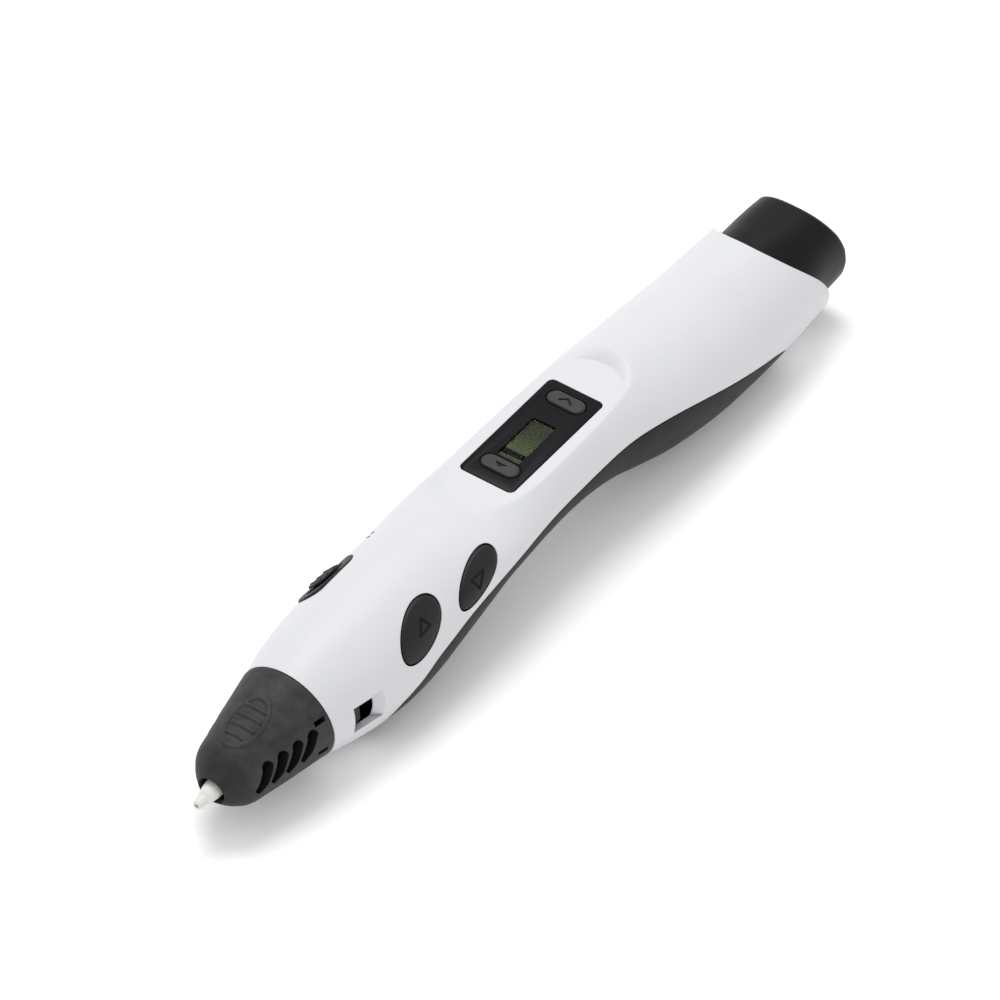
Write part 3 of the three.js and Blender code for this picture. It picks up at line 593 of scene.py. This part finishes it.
def display_material():
    """Greenish reflective display with one dark bar near its front end."""
    material, nodes, links, shader = tree("lcd")
    coords = nodes.new("ShaderNodeTexCoord")
    x = x_of(nodes, links, coords)
    start, stop = (shared_x(FACET_X + end) for end in WINDOW[:2])
    along_window = mapped(nodes, links, x, 0.0, from_min=start, from_max=stop)
    bands = ramp(nodes, links, along_window, [
        (0.0, (0.075, 0.09, 0.055)),
        (0.10, (0.085, 0.10, 0.06)),
        (0.115, (0.006, 0.006, 0.006)),
        (0.225, (0.006, 0.006, 0.006)),
        (0.24, (0.095, 0.11, 0.06)),
        (0.6, (0.06, 0.07, 0.04)),
        (1.0, (0.04, 0.046, 0.03)),
    ])
    grain = noise(nodes, links, coords, 2500, 3.0)
    mottle = nodes.new("ShaderNodeMix")
    mottle.data_type = "RGBA"
    mottle.blend_type = "MULTIPLY"
    mottle.inputs["Factor"].default_value = 0.25
    links.new(bands.outputs["Color"], mottle.inputs["A"])
    links.new(grain.outputs["Color"], mottle.inputs["B"])
    links.new(mottle.outputs["Result"], shader.inputs["Base Color"])
    links.new(mapped(nodes, links, grain.outputs["Fac"], 0.3, 0.45), shader.inputs["Roughness"])
    shader.inputs["Specular IOR Level"].default_value = 0.06
    return material


LENS = lens_material()
DISPLAY = display_material()


def finish_piece(thing, material, body, slot, *nodes):
    """Gives a piece its material, unless it has its own, and its body, and hides the nodes it stands for. The
    slot is not used.
    """
    if material:
        thing.data.materials.clear()
        thing.data.materials.append(material)
    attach(thing, body)
    if nodes:
        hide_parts(*nodes)


# ------------------------------------------------------------------ shells

# Angles around the shell, densest over the top, where the display facet is: from, to, count
shell_angles = np.concatenate([
    np.linspace(math.pi * start, math.pi * stop, count, endpoint=False)
    for start, stop, count in [(0, 0.2, 30), (0.2, 0.8, 150), (0.8, 1, 30), (1, 2, 100)]
])
shell_x = along((22.6, 70, 0.6), (70, 121, 0.22), (121, 174, 0.8))


def parting_tool(name, gap):
    """Prism under the parting line, drawn back by a gap: downward, and inward near its two ends."""
    middle, long_part, bend = 96, 50, 6
    points = []
    for x, z in smooth_line(PARTING):
        inward = np.clip((abs(x - middle) - long_part) / bend, 0, 1) * np.sign(middle - x) * gap
        points.append((x + inward, z - gap if z > BELOW else z))
    return prism(name, points, -20, 20, SIDEWAYS)


def smooth_line(points, steps=6):
    """Catmull-Rom curve through points."""
    curve = np.array(points, float)
    last = len(curve) - 1
    dense = []
    for i in range(last):
        p0, p1, p2, p3 = curve[max(i - 1, 0)], curve[i], curve[i + 1], curve[min(i + 2, last)]
        for t in np.linspace(0, 1, steps, endpoint=False):
            bend = 2 * p0 - 5 * p1 + 4 * p2 - p3
            twist = 3 * p1 - p0 - 3 * p2 + p3
            dense.append(0.5 * (2 * p1 + (p2 - p0) * t + bend * t * t + twist * t**3))
    dense.append(curve[-1])
    return [tuple(point) for point in dense]


def rear_tool(name):
    """Prism of everything behind the rear edge of the white shell."""
    outline = [(220, 40), (146, 40)] + smooth_line(REAR_EDGE) + [(220, -10)]
    return prism(name, outline, -20, 20, SIDEWAYS)


def key_outline(key, margin):
    """Outline of a side button, or of a hole with a margin around it."""
    x, up, long, short, turn = key
    return ellipse(x, up, long + margin, short + margin, math.radians(turn))


def rod(name, radius, low, high, place, around=96):
    return turned(name, [(0.001, low), (radius, low), (radius, high), (0.001, high)], place, around)


inner_x = along((21, 176, 2.0))
upper = body_tube("upper_shell_looks", shell_x, shell_angles, inner_x, shell_angles[::3], WALL)
shape_by(upper, rod("nose_end", 20, 0, NOSE_REAR + 0.22, NOSE))
shape_by(upper, rear_tool("rear_end"))
lower = bpy.data.objects.new("lower_shell_looks", upper.data.copy())
bpy.context.scene.collection.objects.link(lower)
shape_by(upper, parting_tool("parting_upper", 0.0))
shape_by(lower, parting_tool("parting_lower", 0.2), "INTERSECT")

shape_by(upper, prism("panel_hole", box_outline(0, 0, PANEL[0] + 0.3, PANEL[1] + 0.3, 1.15), -6, 6, FACET))
for key in (FEED_KEY, RETRACT_KEY):
    shape_by(upper, prism("key_hole", key_outline(key, 0.22), 4, 20, SIDE))
shape_by(upper, prism("slider_hole", box_outline(0, 0, 13.9, 6.4, 3.19), 6, 20, SLIDER))


def window_tool(side):
    """Snap window: open at the front, a ramp back up to the surface behind."""
    outline = [(28.6, 14), (28.6, 7.4), (33.0, 7.4), (33.0, 9.4), (35.6, 12.05), (35.6, 14)]
    outline = [(x, side * y) for x, y in outline]
    return prism("snap_window", outline, 10.2, 15.7)


for side in (1, -1):
    shape_by(upper, window_tool(side))
finish_piece(upper, WHITE, "pen_body", "white_shell", "upper_shell")

shape_by(lower, boxed("front_flat", (34, -7, -3), (56, 7, REST_Z)))
shape_by(lower, boxed("rear_flat", (124, -7, -3), (158, 7, REST_Z)))
SCREWS = [("screw_front", 60, 3.4), ("screw_rear", 114, 5.6)]  # node, x, height of the head's seat
for node, x, z in SCREWS:
    place = frame_at([x, 0, z], [0, 0, -1])
    shape_by(lower, rod("screw_pocket", 2.5, -0.8, 6, place, 64))
    shape_by(lower, rod("screw_bore", 1.1, -5, 6, place, 32))
finish_piece(lower, BLACK, "pen_body", "black_shell", "lower_shell")

# ------------------------------------------------------------------ nose cap

# Radius, distance along the nose
NOSE_OUTLINE = np.array([
    (2.55, 2.25), (2.8, 2.45), (3.5, 3.05), (4.3, 3.75), (5.0, 4.5), (5.75, 5.5), (6.15, 6.1),
    (6.45, 6.8), (6.75, 7.7), (7.2, 10), (8.2, 15), (9.45, 22), (9.78, 23.85), (9.68, 24.0),
])
NOSE_HOLE = [(0.001, 1), (2.75, 1), (2.75, 2.4), (2.5, 2.9), (2.5, 6), (0.001, 6)]
NOSE_CORE = [(0.001, 4.4), (4.3, 4.4), (5.0, 6.6), (6.6, 15), (8.1, 25), (0.001, 25)]


def nose_radius(s):
    return np.interp(s, NOSE_OUTLINE[:, 1], NOSE_OUTLINE[:, 0])


SOFT = 0.22  # width of the slope beside a raised or sunken line


def stroke(px, py, ax, ay, bx, by, half):
    """Height share of a rounded line from a to b."""
    dx, dy = bx - ax, by - ay
    t = np.clip(((px - ax) * dx + (py - ay) * dy) / (dx * dx + dy * dy), 0, 1)
    distance = np.hypot(px - ax - t * dx, py - ay - t * dy)
    return smooth_step((half - distance) / SOFT + 0.5)


# Finger pad: middle, half length, half width, height of its lines, half width of a line
PAD = (13.0, 5.6, 3.3, 0.28, 0.34)
PAD_RIBS = (-3.0, -1.0, 1.0, 3.0)


def pad_height(s, across):
    """Raised oval finger pad with a rim and plain cross ribs."""
    middle, long, wide, rise, line = PAD
    reach = np.hypot((s - middle) / long, across / wide)
    rim = smooth_step((line - np.abs(reach - 0.93) * wide) / SOFT + 0.5)
    ribs = np.zeros(np.shape(s))
    for rib in PAD_RIBS:
        half = 0.66 * wide * math.sqrt(1 - (rib / long) ** 2)
        ribs = np.maximum(ribs, stroke(s, across, middle + rib, -half, middle + rib, half, line))
    return rise * np.maximum(rim, ribs)


def paint_inside_shade(cap):
    """Paints shade on the unlit inside of the cap, with the plain dark plastic."""
    cap.data.materials.append(INNER)
    origin, axes = NOSE
    for face in cap.data.polygons:
        local = (np.array(face.center) / MM + ORIGIN - origin) @ axes
        inside = math.hypot(local[0], local[1]) < nose_radius(local[2]) - 0.12
        if inside and 3.2 < local[2] < 23:
            face.material_index = 1


nose_s = along((2.25, 7, 0.15), (7, 19.2, 0.11), (19.2, 24.0, 0.3))
nose_angles = np.concatenate([
    np.linspace(-0.75, 0.75, 150, endpoint=False),
    np.linspace(0.75, TURN - 0.75, 110, endpoint=False),
]) + math.pi  # the frame's x points down, so half a turn is up
S, A = np.meshgrid(nose_s, nose_angles, indexing="ij")
radius = nose_radius(S)
across = radius * np.sin(A - math.pi)
radius = radius + np.where(np.cos(A) < 0, pad_height(S, across), 0)
nose_grid = np.stack([radius * np.cos(A), radius * np.sin(A), S], axis=-1)
points, faces = rings_mesh(nose_grid)
nose = make("nose_cap_looks", out_of(NOSE, points), faces)
shape_by(nose, turned("nose_core", NOSE_CORE, NOSE))
shape_by(nose, turned("nose_hole", rounded(NOSE_HOLE, 0.2), NOSE))


def vent_outline(index):
    """Slanted slot with a round top and a pointed bottom, in the side view."""
    cx, cz = 8.4 + 3.3 * index, 11.75 + 0.3 * index
    half, lean, low, high = 1.15, 2.6, -1.9, 2.5
    arc = np.linspace(0.2, math.pi - 0.2, 12)
    pts = [(low * 0.5 - 0.1, low), (half + low * 0.5 + 0.6, low + 1.3), (half + lean * 0.5, high)]
    pts += [(lean * 0.5 + half * math.cos(t), high + half * math.sin(t)) for t in arc]
    pts += [(-half + lean * 0.5, high), (-half + low * 0.5 + 0.1, low + 1.0)]
    return [(cx + x, cz + z) for x, z in pts]


for index in range(4):
    for low, high in ((-14, -1), (1, 14)):
        shape_by(nose, prism("vent", vent_outline(index), low, high, SIDEWAYS))
NOTCH_DEGREES = (27.5, -12.7)
for side in (1, -1):
    for degrees in NOTCH_DEGREES:
        a = math.radians(degrees)
        place = frame_at([0, 0, 12.5], [0, side * math.cos(a), math.sin(a)])
        shape_by(nose, boxed("notch", (20.6, -0.5, 6), (22.9, 0.5, 14), place))
shape_by(nose, turned("spigot", [(6.9, 22.6), (8.0, 22.6), (8.0, 27), (6.9, 27)], NOSE, closed=True), "UNION")
for side in (1, -1):
    low, high = sorted((side * 6.9, side * 7.55))
    shape_by(nose, boxed("snap_arm", (-2.1, low, 22.5), (3.1, high, 33.6), NOSE), "UNION")
    low, high = sorted((side * 7.4, side * 9.7))
    shape_by(nose, boxed("snap_hook", (-1.6, low, 29.6), (2.6, high, 31.4), NOSE), "UNION")
finish_piece(nose, NOSE_GREY, "pen_body", "cap_plastic", "nose_cap")
# Painted shade inside the nose cap.
paint_inside_shade(nose)

NOZZLE_PROFILE = [
    (0.4, 0.2), (0.4, -1.8), (0.75, -1.8), (0.95, -1.45), (1.05, 0.2), (1.4, 0.6), (1.7, 2.4),
    (2.0, 6.0), (2.9, 7.0), (2.9, 9.0), (1.0, 9.0), (1.0, 0.6), (0.4, 0.2),
]
nozzle = turned("ceramic_nozzle_looks", rounded(NOZZLE_PROFILE, 0.2), NOSE, 72, closed=True)
finish_piece(nozzle, CERAMIC, "pen_body", "ceramic", "ceramic_nozzle")

# ------------------------------------------------------------------ tail cap

# x, height of the middle, half width, depth below the middle
TAIL_SECTIONS = np.array([
    [157.0, 12.85, 10.45, 10.35],
    [161.0, 13.2, 10.3, 9.9],
    [165.0, 13.6, 9.9, 9.7],
    [169.0, 13.9, 9.5, 9.4],
    [177.0, 14.1, 9.1, 9.1],
])


def tail_ring(x, angles, pull=0.0):
    """Ring of the tail cap, leaning more and more toward the slanted end face."""
    z, wide, under = [np.interp(x, TAIL_SECTIONS[:, 0], TAIL_SECTIONS[:, i]) for i in (1, 2, 3)]
    tall = np.where(np.sin(angles) > 0, wide, under) - pull
    power = 2 + 0.5 * smooth_step((x - 160) / 12)
    square = (np.abs(np.cos(angles)) ** power + np.abs(np.sin(angles)) ** power) ** (-1 / power)
    height = z + tall * square * np.sin(angles)
    face_x = np.interp(height, TAIL_EDGE[:, 1], TAIL_EDGE[:, 0])
    lean = smooth_step((x - 160) / 13) * (face_x - TAIL_END)
    side = (wide - pull) * square * np.cos(angles) * TAIL_SLIM
    return np.stack([x + lean, side, height], axis=1)


tail_angles = np.linspace(0, TURN, 160, endpoint=False)
stack = [body_surface(x, tail_angles, WALL + 0.3) for x in along((153.3, 156.5, 0.8))]
stack += [tail_ring(x, tail_angles) for x in along((157.2, TAIL_END - TAIL_ROUND, 0.5))]
for t in np.linspace(0.12, math.pi / 2, 10):
    reach = TAIL_END - TAIL_ROUND * (1 - math.sin(t))
    stack.append(tail_ring(reach, tail_angles, TAIL_ROUND * (1 - math.cos(t))))
points, faces = rings_mesh(stack)
tail = make("tail_cap_looks", points, faces)
core = [body_surface(x, tail_angles[::2], 2 * WALL + 0.3) for x in along((150, 156.5, 1.5))]
core += [tail_ring(x, tail_angles[::2], WALL) for x in along((157.5, TAIL_END - 1.7, 2.0))]
points, faces = rings_mesh(core)
shape_by(tail, make("tail_core", points, faces))
collar = [(JACK_HOLE, 168.4), (5.9, 168.4), (5.9, 173.9), (JACK_HOLE, 173.9)]
shape_by(tail, turned("jack_collar", collar, TAIL, closed=True), "UNION")
shape_by(tail, rod("jack_recess", JACK_HOLE, 160, 180, TAIL))
shape_by(tail, rod("inlet_hole", 2.35, 160, 180, BUSH, 48))
finish_piece(tail, CAP_BLACK, "pen_body", "black_shell", "tail_cap")

JACK_PROFILE = [
    (2.9, 159.0), (2.9, 168.7), (3.2, 169.0), (4.4, 169.0), (4.6, 168.8), (4.6, 157.5), (0.6, 157.5),
    (0.6, 159.0), (2.9, 159.0),
]
PIN_PROFILE = [(0.001, 159.2), (1.0, 159.2), (1.0, 167.8), (0.001, 167.8)]
BUSH_PROFILE = [
    (1.1, 169.9), (2.15, 169.9), (2.15, 171.9), (1.9, 172.2), (1.5, 172.2), (1.1, 171.6), (1.1, 169.9),
]
jack = turned("power_jack_looks", rounded(JACK_PROFILE, 0.12), TAIL, 64, closed=True)
finish_piece(jack, INNER, "pen_body", "inner_plastic", "power_jack")
pin = turned("jack_pin_looks", rounded(PIN_PROFILE, 0.4, 6), TAIL, 40)
finish_piece(pin, STEEL, "pen_body", "steel", "jack_pin")
bush = turned("inlet_bush_looks", rounded(BUSH_PROFILE, 0.15), BUSH, 56, closed=True)
finish_piece(bush, BRASS, "pen_body", "brass", "inlet_bush")

# ------------------------------------------------------------------ display panel

bezel = slab("display_bezel_looks", plate(0, *PANEL, 1, follow=1), -1.7, 0.02, FACET, edge=0.18)
flange = slab("bezel_flange", plate(0, PANEL[0] + 2.4, PANEL[1] + 2.4, 1.5), -2.5, -1.69, FACET)
shape_by(bezel, flange, "UNION")


def stadium(cx, margin=0.0):
    return plate(cx, PANEL_BUTTON[0] + 2 * margin, PANEL_BUTTON[1] + 2 * margin, 9, 24)


for at in (UP_AT, DOWN_AT):
    shape_by(bezel, slab("button_hole", stadium(at, 0.16), -5, 3, FACET))
    shape_by(bezel, slab("button_lead", stadium(at, 0.34), -0.16, 3, FACET))
window_mid = (WINDOW[0] + WINDOW[1]) / 2
window_length = WINDOW[1] - WINDOW[0]
window_width = 2 * WINDOW[2]
shape_by(bezel, slab("window_hole", plate(window_mid, window_length, window_width, 0.4), -5, 3, FACET))
finish_piece(bezel, GLOSS, "pen_body", "gloss_black", "display_bezel")

pane = plate(window_mid, window_length - 0.1, window_width - 0.1, 0.4)
lens = slab("display_lens_looks", pane, -0.3, -0.02, FACET, edge=0.05, under=0.05)
finish_piece(lens, LENS, "pen_body", "lens", "display_lens")
lcd = slab("lcd_module_looks", plate(-0.9, 12.4, 9.6, 0.3), -4.6, -2.9, FACET, edge=0.15)
glass = plate(window_mid, window_length - 0.12, window_width - 0.12, 0.3)
shape_by(lcd, slab("lcd_glass", glass, -3.2, -0.38, FACET, edge=0.05), "UNION")
finish_piece(lcd, DISPLAY, "pen_body", "lcd", "lcd_module")


def groove_line(pts, px, py, half):
    """Height share of a rounded line through several points."""
    depth = np.zeros(np.shape(px))
    for (ax, ay), (bx, by) in zip(pts, pts[1:]):
        depth = np.maximum(depth, stroke(px, py, ax, ay, bx, by, half))
    return depth


SIGN_DEPTH = 0.22
SIGN_HALF = 0.2


def dished_key(name, rim, height_at, bottom, place, material, rings, edge, sign=()):
    """A key whose top follows height_at(x, y), with a rounded rim and an engraved sign whose grooves carry
    painted shade.
    """
    middle = rim.mean(axis=0)
    rows = [np.column_stack([rim, np.full(len(rim), bottom)])]
    size = np.abs(rim - middle).max(axis=0).min()
    steps = []
    for t in np.linspace(0, math.pi / 2, 7):
        steps.append((1 - edge * (1 - math.cos(t)) / size, -edge * (1 - math.sin(t))))
    inner = steps[-1][0]
    for share in np.linspace(inner, 0.012, rings)[1:]:
        steps.append((share, 0.0))
    for share, sink in steps:
        flat = middle + (rim - middle) * share
        h = height_at(flat[:, 0], flat[:, 1]) + sink
        for line in sign:
            h = h - SIGN_DEPTH * groove_line(line, flat[:, 0], flat[:, 1], SIGN_HALF)
        rows.append(np.column_stack([flat, h]))
    points, faces = rings_mesh(rows)
    thing = make(name, out_of(place, points), faces, 50)
    middles = np.array([points[face].mean(axis=0) for face in faces])
    groove_shade = np.zeros(len(faces))
    for line in sign:
        groove_shade = np.maximum(groove_shade, groove_line(line, middles[:, 0], middles[:, 1], SIGN_HALF + 0.04))
    thing.data.materials.append(material)
    thing.data.materials.append(SHADOW)
    for i in np.nonzero((groove_shade > 0.3) & (middles[:, 2] > bottom + 0.2))[0]:
        thing.data.polygons[int(i)].material_index = 1
    return thing


# Signs of the panel buttons: an open arrow and a filled one
UP_SIGN = [(0.8, 0.0), (-0.3, 1.5), (-0.62, 1.2), (0.25, 0.0), (-0.62, -1.2), (-0.3, -1.5)]
DOWN_SIGN = [(-0.65, 0.0), (0.4, -1.3), (0.4, 1.3)]


def panel_key(name, at, sign):
    """Stadium button with a sunken sign whose walls carry painted shade."""
    crown = lambda x, y: 0.38 - 0.05 * (y / 3.8) ** 2
    key = dished_key(name, stadium(at)(0.0), crown, -2.7, FACET, KEY_GREY, 60, 0.3)
    tool = prism("sign", [(at + a, b) for a, b in sign], 0.2, 2, FACET)
    # Its faces carry the painted groove shade into the pocket.
    tool.data.materials.append(KEY_GREY)
    tool.data.materials.append(SHADOW)
    for face in tool.data.polygons:
        face.material_index = 1
    shape_by(key, tool)
    return key


up_key = panel_key("temp_up_button_looks", UP_AT, UP_SIGN)
finish_piece(up_key, None, "up_key", "button_grey", "temp_up_button")
down_key = panel_key("temp_down_button_looks", DOWN_AT, DOWN_SIGN)
finish_piece(down_key, None, "down_key", "button_grey", "temp_down_button")

# ------------------------------------------------------------------ side buttons


def side_key(name, key, points_to):
    """Domed oval button that follows the shell, with an engraved arrow in painted shade."""
    x, up, long, short, turn = key
    ct, st = math.cos(math.radians(turn)), math.sin(math.radians(turn))

    def top(a, b):
        u = ((a - x) * ct + (b - up) * st) / long
        v = (-(a - x) * st + (b - up) * ct) / short
        crown = np.clip(1 - u * u - v * v, 0, 1)
        return surface_height(SIDE, a, b) + 0.12 + 0.3 * crown

    arrow = [(-1.5, 1.15), (1.4, 0.0), (-1.5, -1.15), (-1.5, 1.15)]
    line = [(x + points_to * p * ct - q * st, up + points_to * p * st + q * ct) for p, q in arrow]
    thing = dished_key(name, key_outline(key, 0.0), top, 8.8, SIDE, RUBBER, 80, 0.5, [line])
    shape_by(thing, prism("flange", key_outline(key, 0.5), 8.3, 8.9, SIDE), "UNION")
    soften(thing, 50)
    return thing


feed_key = side_key("feed_button_looks", FEED_KEY, -1)
finish_piece(feed_key, None, "feed_key", "rubbery_black", "feed_button")
retract_key = side_key("retract_button_looks", RETRACT_KEY, 1)
finish_piece(retract_key, None, "retract_key", "rubbery_black", "retract_button")

# ------------------------------------------------------------------ speed slider

track = slab("slider_track_looks", plate(0, 13.5, 6.0, 3, follow=1), 9.9, 12.62, SLIDER, edge=0.25)
shape_by(track, slab("track_flange", plate(0, 15.3, 7.8, 3.8), 9.3, 10.1, SLIDER), "UNION")
shape_by(track, slab("track_slot", plate(0, 9.6, 2.0, 0.99), 5, 16, SLIDER))
finish_piece(track, RUBBER, "pen_body", "rubbery_black", "slider_track")

knob_outline = plate(0, 6.4, 4.2, 1.6, 10, follow=1)
knob = slab("speed_knob_looks", knob_outline, 12.86, 13.25, SLIDER, edge=0.2, under=0.08)
for x in (-1.8, 0.0, 1.8):
    rib = slab("rib", plate(x, 0.7, 3.7, 0.34, follow=1), 13.0, 13.42, SLIDER, edge=0.2)
    shape_by(knob, rib, "UNION")
shape_by(knob, boxed("stem", (-1.4, -0.65, 8.6), (1.4, 0.65, 13.0), SLIDER), "UNION")
finish_piece(knob, RUBBER, "speed_slide", "rubbery_black", "speed_knob")

for number, x in enumerate((59.6, 60.9)):
    at = x - SLIDER_AT[0]
    height = float(surface_height(SLIDER, np.array([at]), np.array([0.0]))[0])
    outline = plate(at, 0.4, 1.0, 0.15)
    tick = slab(f"speed_tick_{number}", outline, height - 0.4, height + 0.06, SLIDER, edge=0.05)
    finish_piece(tick, RUBBER, "pen_body", "rubbery_black")

# ------------------------------------------------------------------ screws

SCREW_PROFILE = [
    (0.001, -4.0), (0.9, -3.6), (0.95, -0.4), (2.1, -0.4), (2.1, 0.5), (1.7, 0.9), (0.001, 0.9),
]
for node, x, z in SCREWS:
    place = frame_at([x, 0, z], [0, 0, -1])
    screw = turned(node + "_looks", rounded(SCREW_PROFILE, 0.12), place, 56)
    shape_by(screw, boxed("cross_a", (-1.4, -0.25, 0.3), (1.4, 0.25, 2), place))
    shape_by(screw, boxed("cross_b", (-0.25, -1.4, 0.3), (0.25, 1.4, 2), place))
    finish_piece(screw, STEEL, "pen_body", "steel", node)

# ------------------------------------------------------------------ carried-over pieces

BY_SLOT = {
    "white_shell": WHITE, "black_shell": BLACK, "cap_plastic": NOSE_GREY, "rubbery_black": RUBBER,
    "gloss_black": GLOSS, "button_grey": KEY_GREY, "lens": LENS, "lcd": DISPLAY, "ceramic": CERAMIC,
    "steel": STEEL, "brass": BRASS, "circuit_board": BOARD, "inner_plastic": INNER,
    "ivory_plastic": IVORY, "tubing": TUBING,
}
HOT_NODES = ("heater_sleeve", "thermistor_bead", "hot_end_holder")
slot_of = {s["node"]: s["material_slot"] for s in frame["record"]["subparts"]}
for name, node in NODES.items():
    if node.hide_render:
        continue
    node.data.materials.clear()
    node.data.materials.append(HOT if name in HOT_NODES else BY_SLOT[slot_of[name]])

# ------------------------------------------------------------------ stage, light, camera

AZIMUTH = math.radians(-53.56)
ELEVATION = math.radians(42.53)
AIM = (87.14, 1.83, 14.0)
DISTANCE = 2.6429
FOCAL_LENGTH = 551.62
level = math.cos(ELEVATION)
toward = Vector((math.sin(AZIMUTH) * level, -math.cos(AZIMUTH) * level, math.sin(ELEVATION)))
right = Vector((math.cos(AZIMUTH), math.sin(AZIMUTH), 0))
target = (Vector(AIM) - Vector(ORIGIN)) * MM
camera_data = bpy.data.cameras.new("camera")
camera = bpy.data.objects.new("camera", camera_data)
bpy.context.scene.collection.objects.link(camera)
camera_data.sensor_width = 36
camera_data.lens = FOCAL_LENGTH
camera_data.clip_end = 20
camera.location = target + toward * DISTANCE
camera.rotation_euler = toward.to_track_quat("Z", "Y").to_euler()
bpy.context.scene.camera = camera

FLOOR_HALF = 3.0
FLOOR_GLOW = 0.06  # lifts the white paper a little, as in an overexposed picture
floor_mesh = bpy.data.meshes.new("floor")
corners = [(a * FLOOR_HALF, b * FLOOR_HALF, 0) for a, b in ((-1, -1), (1, -1), (1, 1), (-1, 1))]
floor_mesh.from_pydata(corners, [], [(0, 1, 2, 3)])
floor = bpy.data.objects.new("floor", floor_mesh)
bpy.context.scene.collection.objects.link(floor)
paper = surface("paper", (0.93, 0.93, 0.93), 0.9, grain=300, bump=0.0, spread=0.004, specular=0.1)
paper_shader = paper.node_tree.nodes["Principled BSDF"]
paper_shader.inputs["Emission Color"].default_value = (1, 1, 1, 1)
paper_shader.inputs["Emission Strength"].default_value = FLOOR_GLOW
floor.data.materials.append(paper)

world = bpy.data.worlds.new("studio")
bpy.context.scene.world = world
world.use_nodes = True
sky = world.node_tree.nodes["Background"]
sky.inputs["Color"].default_value = (1, 1, 1, 1)
sky.inputs["Strength"].default_value = 0.9


def area_light(name, direction, distance, size, power):
    """Round soft light that shines at the object from a direction."""
    data = bpy.data.lights.new(name, "AREA")
    data.shape = "DISK"
    data.size = size
    data.energy = power
    lamp = bpy.data.objects.new(name, data)
    bpy.context.scene.collection.objects.link(lamp)
    d = Vector(direction).normalized()
    lamp.location = d * distance
    lamp.rotation_euler = d.to_track_quat("Z", "Y").to_euler()


away = Vector((-toward.x, -toward.y, 0)).normalized()
overhead = Vector((0, 0, 1.3))
area_light("key", 0.45 * away - 0.1 * right + overhead, distance=1.6, size=0.9, power=12.5)
bpy.context.scene.view_settings.view_transform = "Standard"

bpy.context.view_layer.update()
